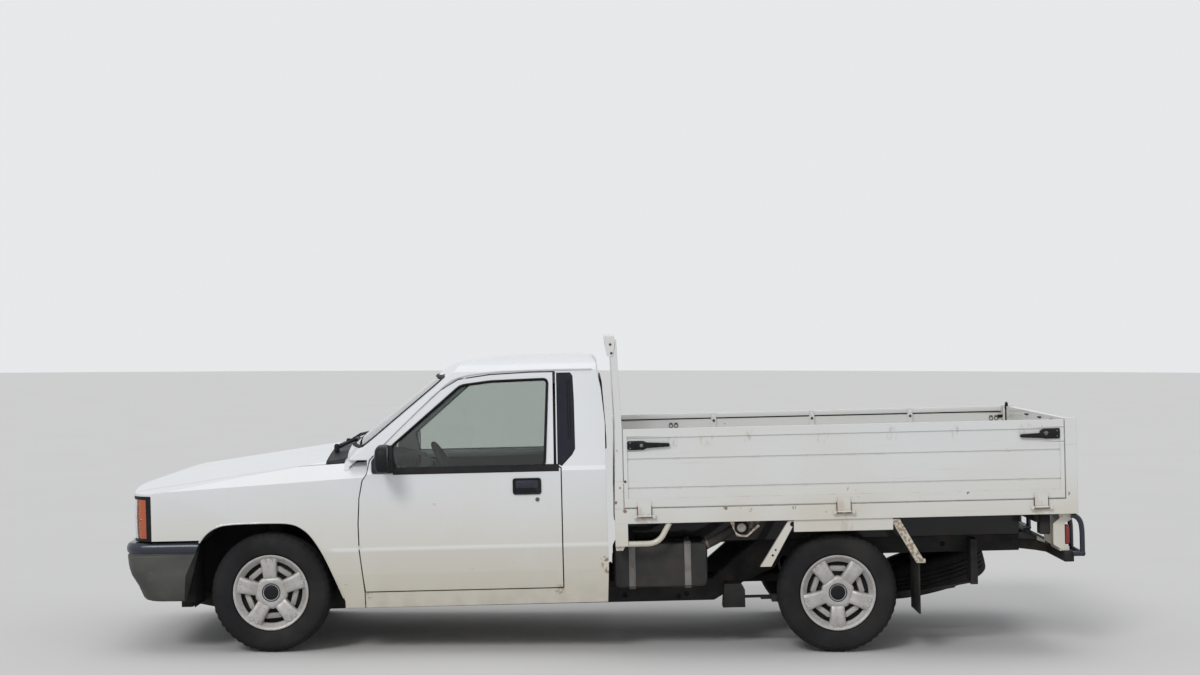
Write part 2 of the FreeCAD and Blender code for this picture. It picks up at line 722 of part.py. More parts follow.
RAIL_SIDE = [
    ("0 - 560", "rail_low"), (2491, "rail_low + 95"), (2658, "rear_rail_low - 63"), (2700, "rear_rail_low"),
    ("rail_rear", "rear_rail_low"), ("rail_rear", "rear_rail_low + rear_rail_depth"),
    (2560, "rear_rail_low + rear_rail_depth"), (2315, "rail_low + rail_depth"), ("0 - 560", "rail_low + rail_depth"),
]
RAIL_SIDE[1:1] = [(2330, "rail_low")]
node_pair("rail", pad("XZ", RAIL_SIDE, "0 - rail_y - rail_width / 2", "rail_width / 2 - rail_y"))


def cross_members():
    inside = "rail_y - rail_width / 2"
    rows = [
        (-540, -480, "rail_low + 20", "rail_low + 90"),
        (640, 700, "rail_low", "rail_low + 30"),
        (1500, 1560, "rail_low", "rail_low + 30"),
        (2180, 2240, "rail_low", "rail_low + 30"),
        (3120, 3180, "rear_rail_low + 10", "rear_rail_low + 70"),
        ("spare_x - 30", "spare_x + 30", "rear_rail_low + 10", "rear_rail_low + 70"),
        (3880, 3940, "rear_rail_low + 10", "rear_rail_low + 70"),
    ]
    held = [box(x0, x1, "0 - (%s)" % inside, inside, z0, z1) for x0, x1, z0, z1 in rows]
    seat = "spare_z + tyre_width / 2 / cos(spare_tilt * 1deg) + 20 * tan(spare_tilt * 1deg) + fit"
    stem = box("spare_x - 20", "spare_x + 20", -20, 20, seat, "rear_rail_low + 20")
    held[5] = join([held[5], stem])
    return group(held)


node("cross_members", cross_members())
node("engine", join([
    box(-260, 300, -230, 230, 260, 790),
    box(300, 760, -130, 130, 230, 430),
    box(-60, 60, "rail_width / 2 - rail_y + fit", "rail_y - rail_width / 2 - fit", "rail_low + 20", "rail_low + 90"),
]))
node("radiator", group([box(-555, -495, -300, 300, "rail_low + 90 + fit", 740)]))

# Tray: floor, rails, bearers and rear posts

STRAP_X = (1924, 2953, 3972)
GATE_STRAP_Y = (-595, 525)


# Tail lamps: front face and lower edge; cheek of their bracket, x and z
LAMP_X = 4137
LAMP_LOW = 467
LAMP_CHEEK = [(4078, 578), (4128, 618), ("post_front - 10", "base_low + 2"), (4178, "base_low + 2"), (4178, 600),
              (4138, 578), (4138, 472), (4160, 458), (4160, 437), (4128, 437), (4078, 470)]


def side_of(sign, near, far):
    """The y range between two distances from the centre line, on one side."""
    return sorted(("%d * (%s)" % (sign, near), "%d * (%s)" % (sign, far)), key=number)


def tray_frame():
    rim = "bed_top - 2"
    pieces = [box("tray_front + 47", "tray_rear - 46", "32 - tray_half", "tray_half - 32", "bed_top - bed_sheet",
                  "bed_top"),
              box("tray_front", "tray_rear", "2 - tray_half", "tray_half - 2", "bed_top - bed_sheet", rim)]
    for sign in (-1, 1):
        y0, y1 = side_of(sign, "tray_half", "tray_half - 45")
        pieces.append(box("tray_front", "tray_rear", y0, y1, "base_low", rim))
        y0, y1 = side_of(sign, "tray_half", "tray_half - post_width")
        pieces.append(box("post_front", "tray_rear", y0, y1, "base_low", "side_top + 6"))
        pieces.append(box("tray_front", "tray_front + 66", y0, y1, "post_foot", "base_low + 10"))
        y0, y1 = side_of(sign, "rail_y - 28", "rail_y + 28")
        pieces.append(box("tray_front + 70", "rail_rear", y0, y1, "rear_rail_low + rear_rail_depth + fit",
                          "base_low + 20"))
        for x in (80, 380):
            pieces.append(box("tray_front + %d" % x, "tray_front + %d" % (x + 80), y0, y1,
                              "rail_low + rail_depth + fit", "base_low + 20"))
        y0, y1 = side_of(sign, "tray_half - 1", "tray_half + hinge_out + side_pin")
        for x in STRAP_X:
            for start in (x - 21.3, x + 70.3):
                pieces.append(box(start, start + 21, y0, y1, "hinge_z - side_pin", "hinge_z + side_pin"))
    for y in GATE_STRAP_Y:
        for start in (y - 21.3, y + 70.3):
            pieces.append(box("tray_rear - 1", "gate_pin_x + side_pin", start, start + 21, "hinge_z - side_pin",
                              "hinge_z + side_pin"))
    for x in (0, 440, 880, 1320, 1760, 2342):
        pieces.append(box("tray_front + %d" % x, "tray_front + %d" % (x + 50), "20 - tray_half", "tray_half - 20",
                          "base_low", "bed_top - bed_sheet / 2"))
    for sign in (-1, 1):
        y0, y1 = side_of(sign, "tray_half - 62.7", "tray_half - 285.3")
        pieces.append(box(LAMP_X - 25, LAMP_X - 0.3, y0, y1, LAMP_LOW - 31, "base_low + 10"))
        for near, far in ((58.7, 62.7), (285.3, 289.3)):
            y0, y1 = side_of(sign, "tray_half - %.1f" % near, "tray_half - %.1f" % far)
            pieces.append(pad("XZ", LAMP_CHEEK, y0, y1))
    return join(pieces)


node("tray_frame", tray_frame())


def headboard():
    lean = math.tan(math.radians(2.3))
    pieces = []
    foot = "bed_top - 2 + fit"
    for sign in (-1, 1):
        low, high = side_of(sign, "tray_half", "tray_half - bar_size")
        pieces.append(pad("XZ", [("tray_front", foot), ("tray_front + 46", foot),
                                 ("tray_front + 46", "side_top"),
                                 ("tray_front + 46 - (bar_z - side_top) * %.4f" % lean, "bar_z"),
                                 ("tray_front + 46 - bar_size - (bar_z - side_top) * %.4f" % lean, "bar_z"),
                                 ("tray_front + 46 - bar_size", "side_top")], low, high))
        low, high = side_of(sign, "tray_half + 4", "tray_half - 2")
        pieces.append(pad("XZ", [("tray_front - 32", "bar_z - 12"), ("tray_front + 20", "bar_z - 12"),
                                 ("tray_front + 18", "bar_z - 40"), ("tray_front + 8", "bar_z - 88"),
                                 ("tray_front - 22", "bar_z - 88"), ("tray_front - 32", "bar_z - 40")], low, high))
    pieces.append(box("tray_front + 8", "tray_front + 38", "1 - tray_half", "tray_half - 1", foot, "side_top"))
    pieces.append(box("tray_front - 36", "tray_front + 18", "0 - tray_half", "tray_half", "bar_z - 16",
                      "bar_z + 15"))
    for y in (-480, -160, 160, 480):
        pieces.append(pad("XZ", [("tray_front + 36", "side_top - 10"), ("tray_front + 16", "side_top - 10"),
                                 ("tray_front - 4", "bar_z"), ("tray_front + 16", "bar_z")],
                          y - 12, y + 12))
    return join(pieces)


node("headboard", headboard())


def side_tubes():
    """Tube from the front post back and up to the tray's side rail."""
    x0, top = "tray_front + 66 + fit", "base_low - fit"
    mid, half = "post_foot + 10", "side_tube / 2"
    upper = [(x0, "%s + %s" % (mid, half)), (1980, "%s + %s" % (mid, half)), (2024, 561), (2062, 617), (2072, top)]
    lower = [(2103, top), (2090, 606), (2048, 540), (1992, "%s - %s" % (mid, half)), (x0, "%s - %s" % (mid, half))]
    left = pad("XZ", upper + lower, "5 - tray_half", "5 + side_tube - tray_half")
    return group([left, mirrored(left)])


node("side_tubes", side_tubes())


def field_panel(plane, left, right, low, high):
    """The plain sheet of a dropside or tailgate."""
    return pad(plane, [(left, "side_low"), (right, "side_low"), (right, "side_top"), (left, "side_top")], low, high)


def dropside():
    panel = field_panel("XZ", "side_front", "post_front - gap", "0 - tray_half", "side_wall - tray_half")
    left, right = "side_front + side_edge", "post_front - gap - side_edge"
    field = box(left, right, "0 - tray_half - 1", "side_recess - tray_half", "side_low + side_border",
                "side_top - side_border")
    grooves = [box(left, right, "0 - tray_half - 1", "side_recess + 5 - tray_half", z, z + 8) for z in (811, 961)]
    pieces = [cut(panel, join([field] + grooves))]
    for x in (2400, 2985, 3570):
        pieces.append(box(x, x + 30, "side_wall - tray_half - 1", "side_wall - tray_half + 12", "side_low + 12",
                          "side_top - 20"))
    for x in STRAP_X:
        outside = "0 - tray_half - hinge_out / 2"
        pieces.append(box(x, x + 70, outside, "0 - tray_half - 0.5", "hinge_z", "side_low"))
        pieces.append(box(x, x + 70, outside, "side_recess + 1 - tray_half", "side_low", "side_low + 30"))
    pins = [(x, "0 - tray_half - hinge_out", "hinge_z") for x in STRAP_X]
    pieces.append(rod(pins[1], (STRAP_X[1] + 70,) + pins[1][1:], "side_pin"))
    for pin in (pins[0], pins[2]):
        start = Vector(*[number(c) for c in pin])
        pieces.append(feature(stick(S.side_pin, 70, start, Vector(1, 0, 0), 8)))
    return join(pieces)


node_pair("dropside", dropside())

# Dropside latches: the body's two ends, then the lever's far end, with the heights of both
LATCHES = [
    {"body": (1878, 1984), "tip": 2096, "body_z": (1014, 1061), "tip_z": (1029, 1047)},
    {"body": (4109, 4006), "tip": 3904, "body_z": (1023, 1077), "tip_z": (1033, 1049)},
]


def latches():
    """Each latch has a body at the panel's end and a lever that tapers away from it."""
    solids = []
    for latch in LATCHES:
        (x0, x1), tip = latch["body"], latch["tip"]
        (z0, z1), (t0, t1) = latch["body_z"], latch["tip_z"]
        way = 1 if x1 > x0 else -1
        outline = [(x0, z0 + 8), (x0 + 22 * way, z0), (x1 - 12 * way, z0), (x1, z0 + 8), (x1 + 8 * way, t0 - 3),
                   (tip, t0), (tip, t1), (x1 + 8 * way, t1 + 3), (x1, z1 - 8), (x1 - 12 * way, z1),
                   (x0 + 22 * way, z1), (x0, z1 - 8)]
        face = S.side_recess + S.fit - S.tray_half
        solids.append(feature(prism(outline, "y", face - 16 - S.fit, face - 2 * S.fit)))
    return group(solids)


node_pair("latches", latches())


def tailgate():
    inner = "tray_half - post_width - gap"
    x0 = "tray_rear - 12 - side_wall"
    x1 = "tray_rear - 12"
    panel = pad("YZ", [("0 - (%s)" % inner, "side_low"), (inner, "side_low"), (inner, "side_top"),
                       ("0 - (%s)" % inner, "side_top")], x0, x1)
    field = box("%s - side_recess" % x1, "%s + 1" % x1, "0 - (%s) + side_border" % inner,
                "%s - side_border" % inner, "side_low + side_border", "side_top - side_border")
    pieces = [cut(panel, field)]
    for y in GATE_STRAP_Y:
        pieces.append(box("%s - 1" % x1, "tray_rear + 2", y, y + 70, "side_low", "side_low + 40"))
        pieces.append(box("tray_rear + 2", "gate_pin_x", y, y + 70, "hinge_z", "side_low + 40"))
        pieces.append(rod(("gate_pin_x", y, "hinge_z"), ("gate_pin_x", y + 70, "hinge_z"), "side_pin"))
    return join(pieces)


node("tailgate", tailgate())


# Under the tray

def mudguards():
    y0, y1 = "14 - tray_half", "46 - tray_half"
    left = [box(2729, 3241, "10 - tray_half", "50 - tray_half", 571, "base_low - fit"),
            pad("XZ", [(2701, 629), (2740, 629), (2608, 394), (2551, 394)], y0, y1),
            pad("XZ", [(3229, 626), (3276, 626), (3405, 395), (3360, 395)], y0, y1),
            box(3360, 3405, y0, -560, 395, 415)]
    return group([join(left), mirrored(join(left))])


node("mudguards", mudguards())
flap = box(3366, 3374, "4 - tray_half", -560, 133, 395)
node("mud_flaps", group([flap, mirrored(flap)]))
node("fuel_tank", join([box(1790, 2290, "110 - tray_half", "0 - rail_y - rail_width / 2 - fit", 285, 520),
                        feature(stick(24, 256, Vector(2240, 150 - S.tray_half, 500), Vector(215, -100, 96), 12)),
                        feature(stick(30, 32, Vector(2460, 60 - S.tray_half, 603), Vector(0, -1, 0), 16))]))
EXHAUST = [((80, 245), (1830, 245), 22), ((1790, 300), (2160, 300), 72), ((2130, 300), (2420, 430), 20),
           ((2412, 430), (3119.7, 430), 20)]


def exhaust():
    pieces = []
    for (x0, z0), (x1, z1), radius in EXHAUST:
        way = Vector(x1 - x0, 0, z1 - z0)
        pieces.append(stick(radius, way.Length, Vector(x0, 252, z0), way, 14))
    return feature(fuse(pieces))


node("exhaust", exhaust())


def tail():
    """Tail lamps, the rear beam and a bent guard round each lamp."""
    lamp = box(LAMP_X, LAMP_X + 27, "66 - tray_half", "282 - tray_half", LAMP_LOW, LAMP_LOW + 103)
    node("tail_lamps", group([lamp, mirrored(lamp)]))
    beam = box(4130, 4180, "40 - tray_half", "tray_half - 40", 380, 435)
    pieces = [beam]
    guard = [(4160, 632), (4181, 614), (4200, 606), (4209, 565), (4209, 436), (4170, 436), (4170, 408), (4237, 408),
             (4237, 569), (4221, 622), (4190, 632)]
    for sign in (-1, 1):
        y0, y1 = side_of(sign, "rail_y - 20", "rail_y + 20")
        pieces.append(pad("XZ", [("rail_rear + fit", 412), ("rail_rear + fit", 488), (4140, 432), (4140, 384)],
                          y0, y1))
        for near, far in ((24, 52), (290, 318)):
            y0, y1 = side_of(sign, "tray_half - %d" % near, "tray_half - %d" % far)
            pieces.append(pad("XZ", guard, y0, y1))
        y0, y1 = side_of(sign, "tray_half - 24", "tray_half - 318")
        pieces.append(box(4209, 4237, y0, y1, 408, 436))
    node("rear_bar", join(pieces))


tail()

# Running gear, placed on the ground frame

REAR_X = S.wheelbase
SIDES = 40


def ring_of_flats(profile, count, closed=True):
    """Rows of radius and offset, turned about the y axis in flat steps."""
    turn = 2 * math.pi / count
    rings = [[Vector(r * math.cos(turn * (i + 0.5)), y, r * math.sin(turn * (i + 0.5))) for i in range(count)]
             for r, y in profile]
    faces = []
    pairs = list(zip(rings, rings[1:])) + ([(rings[-1], rings[0])] if closed else [])
    for near, far in pairs:
        for i in range(count):
            j = (i + 1) % count
            faces.append(Part.Face(Part.makePolygon([near[i], near[j], far[j], far[i], near[i]])))
    if not closed:
        faces += [Part.Face(Part.makePolygon(ring + ring[:1])) for ring in (rings[0], rings[-1])]
    solid = Part.Solid(Part.Shell(faces))
    if solid.Volume < 0:
        solid.reverse()
    return solid


def tyre_profile():
    r, half = S.tyre_radius, S.tyre_width / 2
    return [(0.85 * r, -half), (r, -half + 24), (r, half - 24), (0.85 * r, half)]


def tyre_shape():
    rim, bead = S.rim_radius + S.fit, S.rim_width / 2 + 1
    return ring_of_flats([(rim, -bead)] + tyre_profile() + [(rim, bead)], SIDES)


def rim_shape():
    """Rim, cover with five windows and hub with a blind bore; the outer face looks towards -y."""
    rim, half = S.rim_radius, S.rim_width / 2
    plate = 13 - half
    barrel = ring_of_flats([(rim, -half), (rim, half)], SIDES, False)
    pocket = prism(polygon(16, rim - 17), "y", plate, half + 1)
    hub = prism(polygon(10, 60), "y", plate - 1, -31)
    hole = prism(polygon(20, (S.spindle + S.fit) / math.cos(math.pi / 20)), "y", plate - 2, half)
    inner, outer = S.cover_window_inner, S.cover_window_outer
    window = prism([(inner, -32), (outer, -54), (outer, 54), (inner, 32)], "y", -half - 30, plate + 5)
    cap = prism(polygon(12, 46), "y", -half - 6, -half + 1)
    windows = []
    for index in range(5):
        cutter = window.copy()
        cutter.rotate(Vector(0, 0, 0), Vector(0, 1, 0), 90 + 36 + 72 * index)
        windows.append(cutter)
    return cut_all(barrel.cut(pocket).fuse([hub, cap]), [hole] + windows)


tyre_left = tyre_shape()
rim_left = rim_shape()


def place_wheel(corner, x, y):
    rim = rim_left.copy() if y < 0 else mirror_shape(rim_left)
    for label, shape in (("tyre_" + corner, tyre_left.copy()), ("wheel_" + corner, rim)):
        piece = feature(shape)
        node(label, piece, False)
        piece.Placement = FreeCAD.Placement(Vector(x, y, S.tyre_radius), FreeCAD.Rotation())


place_wheel("front_left", 0, -S.front_track / 2)
place_wheel("front_right", 0, S.front_track / 2)
place_wheel("rear_left", REAR_X, -S.rear_track / 2)
place_wheel("rear_right", REAR_X, S.rear_track / 2)


def spindle(y, sign):
    """The stub that carries a wheel: it ends 4 mm short of the bore's floor."""
    tip = y + sign * (S.rim_width / 2 - 17)
    return Part.makeCylinder(S.spindle, 90, Vector(0, tip, S.tyre_radius), Vector(0, -sign, 0))


def knuckle():
    """Upright, spindle, brake disc and strut of the left front wheel."""
    r, y = S.tyre_radius, -S.front_track / 2
    low = Vector(0, -S.kingpin_low_y, S.kingpin_low_z)
    top = Vector(0, -S.strut_top_y, S.strut_top_z)
    way = (top - low).normalize()
    strut = stick(18, 495, low - way * 22, way, 12)
    spring = stick(46, 95, low + way * 377, way, 16)
    disc = stick(120, 20, Vector(0, y - 15, r), Vector(0, 1, 0), 20)
    upright = block(-35, 35, y + 1, -598, r - 70, r + 60)
    return fuse([strut, spindle(y, -1), disc, upright, spring])


node_pair("knuckle", feature(knuckle()), False)


def front_arms():
    """Lower arms; each end face stands off its ball joint by a running clearance."""
    wall = 0.5 - S.rail_y - S.rail_width / 2 - 1
    arm = prism([(wall, 225), (-616.7, 222), (-625.1, 188), (wall, 190)], "x", -25, 25)
    return group([feature(s) for s in with_mirror(arm)])


node("front_arms", front_arms(), False)


def rear_axle():
    r = S.tyre_radius
    x, y = REAR_X, S.rear_track / 2
    across = Vector(0, 1, 0)
    pieces = [stick(40, 2 * y - 10, Vector(x, 5 - y, r), across, 16)]
    for sign in (-1, 1):
        stub = spindle(sign * y, sign)
        stub.translate(Vector(x, 0, 0))
        pieces += [stub, stick(115, 62, Vector(x, sign * (y + 12), r), across * -sign, 20)]
    start = Vector(755.6, 0, 258)
    way = Vector(x, 0, r) - start
    pieces += [stick(112, 150, Vector(x, -75, r), across, 16), stick(28, way.Length, start, way, 12)]
    return feature(fuse(pieces))


node("rear_axle", rear_axle(), False)


def leaf_springs():
    """Leaves clamped under the axle."""
    x, top = REAR_X, S.tyre_radius - 40 - S.fit
    leaf = prism([(2483.4, 262), (x - 100, top), (x + 100, top), (x + 400, 286), (3682.4, 342), (3682.4, 318),
                  (x + 400, 264), (x + 250, 252), (x + 100, 236), (x - 100, 236), (x - 250, 244), (2483.4, 240)],
                 "y", -540, -480)
    return group([feature(s) for s in with_mirror(leaf)])


node("leaf_springs", leaf_springs(), False)


def spring_hangers():
    """Front hangers and rear shackles of the leaf springs, on the outside of the rails."""
    wall = -S.rail_y - S.rail_width / 2 - S.fit
    front = prism([(2370, 147), (2488, 147), (2488, 240), (2470, 272), (2380, 272)], "y", -545, wall)
    rear = block(3690, 3726, -545, wall, 240, 480)
    return group([feature(s) for s in with_mirror(front) + with_mirror(rear)])


node("spring_hangers", spring_hangers())
doc.recompute()


def spare_wheel():
    """Spare wheel under the tray's tail, lower at its front, its rim closed."""
    disc = ring_of_flats(tyre_profile(), SIDES, False)
    disc.rotate(Vector(0, 0, 0), Vector(1, 0, 0), 90)
    disc.rotate(Vector(0, 0, 0), Vector(0, 1, 0), -S.spare_tilt)
    disc.translate(Vector(S.spare_x, 0, S.spare_z))
    return feature(disc)


node("spare_wheel", spare_wheel())


# The row frame's origin goes to the middle of the whole box

def finish():
    doc.recompute()
    bad = [o.Label for o in doc.Objects if {"Invalid", "Error"} & set(o.State)]
    for piece in NODES:
        shape = piece.Shape
        if shape.isNull() or not shape.isValid() or not shape.Solids:
            bad.append(piece.Label)
    if bad:
        sys.exit("failed: " + ", ".join(bad))
    whole = FreeCAD.BoundBox()
    for piece in NODES:
        whole.add(piece.Shape.optimalBoundingBox(False, False))
    shift = Vector(-(whole.XMin + whole.XMax) / 2, -(whole.YMin + whole.YMax) / 2, -whole.ZMin)
    print("nodes", len(NODES), "box", whole, "shift", shift)
    os.makedirs("parts", exist_ok=True)
    for piece in NODES:
        shape = piece.Shape.copy()
        shape.translate(shift)
        shape.exportStep("parts/%s.step" % piece.Label)
        print(piece.Label, len(shape.Solids), round(shape.Volume / 1e6, 2), "litres")


finish()
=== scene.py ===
import math

import bmesh
import bpy
from mathutils import Matrix, Vector


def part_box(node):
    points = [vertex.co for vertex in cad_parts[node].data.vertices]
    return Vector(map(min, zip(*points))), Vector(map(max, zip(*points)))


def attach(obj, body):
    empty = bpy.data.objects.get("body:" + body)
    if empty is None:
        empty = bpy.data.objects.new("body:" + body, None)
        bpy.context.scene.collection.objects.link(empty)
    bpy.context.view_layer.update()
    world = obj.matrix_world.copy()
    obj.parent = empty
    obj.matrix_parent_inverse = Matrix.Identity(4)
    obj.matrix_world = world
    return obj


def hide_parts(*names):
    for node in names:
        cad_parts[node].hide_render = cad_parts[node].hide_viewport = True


# Looks of a single-cab pickup truck with a flat drop-side tray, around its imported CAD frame.
# Sizes are in millimetres of the body frame (origin on the ground under the front axle, x rearwards,
# nose lower by RAKE) or of the level ground frame, and a mesh is put into the row frame when it is made.

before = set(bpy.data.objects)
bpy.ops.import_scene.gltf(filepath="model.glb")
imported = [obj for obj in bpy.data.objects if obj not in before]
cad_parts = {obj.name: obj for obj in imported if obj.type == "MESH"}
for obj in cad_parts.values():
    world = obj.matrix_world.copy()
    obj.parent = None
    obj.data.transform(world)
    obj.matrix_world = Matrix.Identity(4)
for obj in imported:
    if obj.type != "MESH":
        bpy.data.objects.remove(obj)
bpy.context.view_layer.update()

MM = 0.001
RAKE = math.radians(1.346)
TYRE_R = 312.0
WHEELBASE = 2950.0
TRACK = 1400.0
hub_low, hub_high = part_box("tyre_front_left")
HUB = (hub_low + hub_high) / 2
ORIGIN = Vector((HUB.x, 0.0, HUB.z - TYRE_R * MM))
GROUND = Matrix.Translation(ORIGIN) @ Matrix.Scale(MM, 4)
BODY = Matrix.Translation(ORIGIN) @ Matrix.Rotation(-RAKE, 4, "Y") @ Matrix.Scale(MM, 4)

HEADLAMP = (0, -560, 708)
FILLER = (2460, 0, 597)
STRAPS = (1924, 2953, 3972)
RIBS = (2415, 3000, 3585)
FLOOR_TOP = 712
BED_LOW = 632.6
SEAT_MIDDLE = 345
BELT_TOP = 1300


# Materials: every one is built from noise on the object's own coordinates

def new_node(tree, kind, **values):
    """A shader node with its settings. A key that starts with in_ gives an input a value or a link."""
    node = tree.nodes.new("ShaderNode" + kind)
    for key, value in values.items():
        if not key.startswith("in_"):
            setattr(node, key, value)
        elif value is not None:
            name = key[3:].replace("_", " ")
            socket = node.inputs[int(name) if name.isdigit() else name]
            if isinstance(value, bpy.types.NodeSocket):
                tree.links.new(value, socket)
            else:
                socket.default_value = value
    return node


class Shader:
    """A principled material whose colour, roughness and relief are layered from procedural masks."""

    def __init__(self, name, colour, rough, metal=0.0, coat=0.0, rounding=0.0025, **sockets):
        self.material = bpy.data.materials.new(name)
        self.material.use_nodes = True
        self.tree = self.material.node_tree
        self.inputs = self.tree.nodes["Principled BSDF"].inputs
        self.colour, self.rough, self.normal = (*colour, 1), rough, None
        sockets.update(Base_Color=self.colour, Roughness=rough, Metallic=metal, Coat_Weight=coat,
            Coat_Roughness=0.06)
        for key, value in sockets.items():
            self.inputs[key.replace("_", " ")].default_value = value
        self.where = self.node("Mapping", vector_type="TEXTURE",
            in_Vector=self.node("TexCoord").outputs["Object"], in_Location=ORIGIN,
            in_Rotation=(0, -RAKE, 0)).outputs["Vector"]
        if rounding:
            self.normal = self.feed("Normal", self.soft_normal(rounding))

    def node(self, kind, **values):
        return new_node(self.tree, kind, **values)

    def feed(self, name, socket):
        self.tree.links.new(socket, self.inputs[name])
        return socket

    def soft_normal(self, radius):
        return self.node("Bevel", samples=4, in_Radius=radius).outputs["Normal"]

    def noise(self, scale, low=0.0, high=1.0, detail=4.0, stretch=None):
        """A noise mask from 0 at low to 1 at high."""
        where = self.where
        if stretch:
            where = self.node("Mapping", in_Vector=where, in_Scale=stretch).outputs["Vector"]
        field = self.node("TexNoise", in_Vector=where, in_Scale=scale, in_Detail=detail)
        return self.ramp(field.outputs["Fac"], low, high)

    def specks(self, scale, low, high):
        field = self.node("TexVoronoi", in_Vector=self.where, in_Scale=scale)
        return self.ramp(field.outputs["Distance"], low, high)

    def waves(self, direction, scale):
        return self.node("TexWave", bands_direction=direction, in_Vector=self.where,
            in_Scale=scale).outputs["Fac"]

    def axis(self, which):
        return self.node("SeparateXYZ", in_0=self.where).outputs[which]

    def ramp(self, source, low, high):
        return self.node("MapRange", interpolation_type="SMOOTHSTEP", clamp=True, in_Value=source,
            in_From_Min=low, in_From_Max=high).outputs["Result"]

    def height(self, full, none):
        """A mask that is 1 below the height full and 0 above none, in metres of the body frame."""
        return self.ramp(self.axis("Z"), none, full)

    def away(self, which, middle, near, far):
        """A mask that is 1 within near of a coordinate's value and 0 beyond far."""
        shift = self.node("Math", operation="SUBTRACT", in_0=self.axis(which), in_1=middle)
        size = self.node("Math", operation="ABSOLUTE", in_0=shift.outputs[0])
        return self.ramp(size.outputs[0], far, near)

    def spot(self, x, y, z, radius):
        """A soft mask round a place of the body frame, in millimetres."""
        far = self.node("VectorMath", operation="DISTANCE", in_0=self.where, in_1=(x * MM, y * MM, z * MM))
        return self.ramp(far.outputs["Value"], radius * MM, radius * MM * 0.4)

    def edges(self, radius, low=0.97, high=0.84):
        """A mask along sharp edges, where a rounded normal departs from the face's own."""
        same = self.node("VectorMath", operation="DOT_PRODUCT", in_0=self.soft_normal(radius),
            in_1=self.node("NewGeometry").outputs["True Normal"])
        return self.ramp(same.outputs["Value"], low, high)

    def times(self, a, b):
        return self.node("Math", operation="MULTIPLY", in_0=a, in_1=b).outputs[0]

    def tint(self, mask, colour, strength=1.0):
        """Lay a colour over what is there, where the mask or the product of two masks says."""
        if isinstance(mask, tuple):
            mask = self.times(*mask)
        if strength != 1.0:
            mask = self.times(mask, strength)
        mix = self.node("Mix", data_type="RGBA", in_0=mask, in_6=self.colour, in_7=(*colour, 1))
        self.colour = self.feed("Base Color", mix.outputs[2])

    def roughen(self, mask, value):
        mix = self.node("Mix", data_type="FLOAT", in_0=mask, in_2=self.rough, in_3=value)
        self.rough = self.feed("Roughness", mix.outputs[0])

    def relief(self, mask, distance, strength=1.0):
        bump = self.node("Bump", in_Strength=strength, in_Distance=distance, in_Height=mask,
            in_Normal=self.normal)
        self.normal = self.feed("Normal", bump.outputs["Normal"])


DUST = (0.42, 0.36, 0.29)
RUST = (0.19, 0.075, 0.03)
WHITE = (0.73, 0.745, 0.765)


def worn_paint(name, colour, cream, worn):
    """Old white paint: creamier and dustier low down, with fine specks, runs of dirt and chips to rust."""
    s = Shader(name, colour, 0.34, coat=0.45)
    s.tint(s.noise(1.6, 0.35, 0.7), cream, 0.35)
    s.tint((s.height(0.26, 0.98), s.noise(2.4, 0.05, 0.5)), (0.60, 0.56, 0.465), 0.92)
    s.tint((s.height(0.20, 0.40), s.noise(9.0, 0.3, 0.7)), DUST, 0.45)
    s.tint(s.noise(5.0, 0.60, 0.95, stretch=(5, 5, 0.6)), (0.50, 0.46, 0.40), 0.16 * worn)
    s.tint(s.specks(48.0, 0.035, 0.02), (0.25, 0.20, 0.16), 0.5)
    chips = s.times(s.noise(26.0, 0.69, 0.73, detail=6.0), s.noise(2.3, 0.52, 0.62))
    s.tint(chips, RUST, min(1.0, 0.55 * worn))
    s.roughen(s.noise(5.0, 0.3, 0.8), 0.48)
    s.roughen(s.height(0.2, 0.5), 0.62)
    s.relief(s.noise(1.1, detail=1.0), 0.004, 0.18)
    return s


def paint():
    """The cab's paint, with rust at its lower rear corner, under the door and round the arch, and a painted
    highlight along the side's crease.
    """
    s = worn_paint("paint", WHITE, (0.70, 0.69, 0.65), 1.0)
    for x, z, radius in ((1752, 436, 42), (1762, 395, 26), (1510, 292, 40), (520, 285, 34), (398, 268, 30),
            (-640, 596, 22)):
        rust = s.times(s.spot(x, -806, z, radius), s.noise(60.0, 0.44, 0.56, detail=6.0))
        s.tint(rust, RUST, 0.8)
    s.tint((s.edges(0.003), s.noise(34.0, 0.56, 0.66, detail=5.0)), (0.42, 0.36, 0.30), 0.5)
    # Painted highlight: a lighter line along the side's crease at 530 mm height, from 0.30 m back.
    crease_highlight = s.times(s.away("Z", 0.530, 0.004, 0.016), s.ramp(s.axis("X"), 0.30, 0.36))
    s.tint(crease_highlight, (0.80, 0.80, 0.80), 0.6)
    return s.material


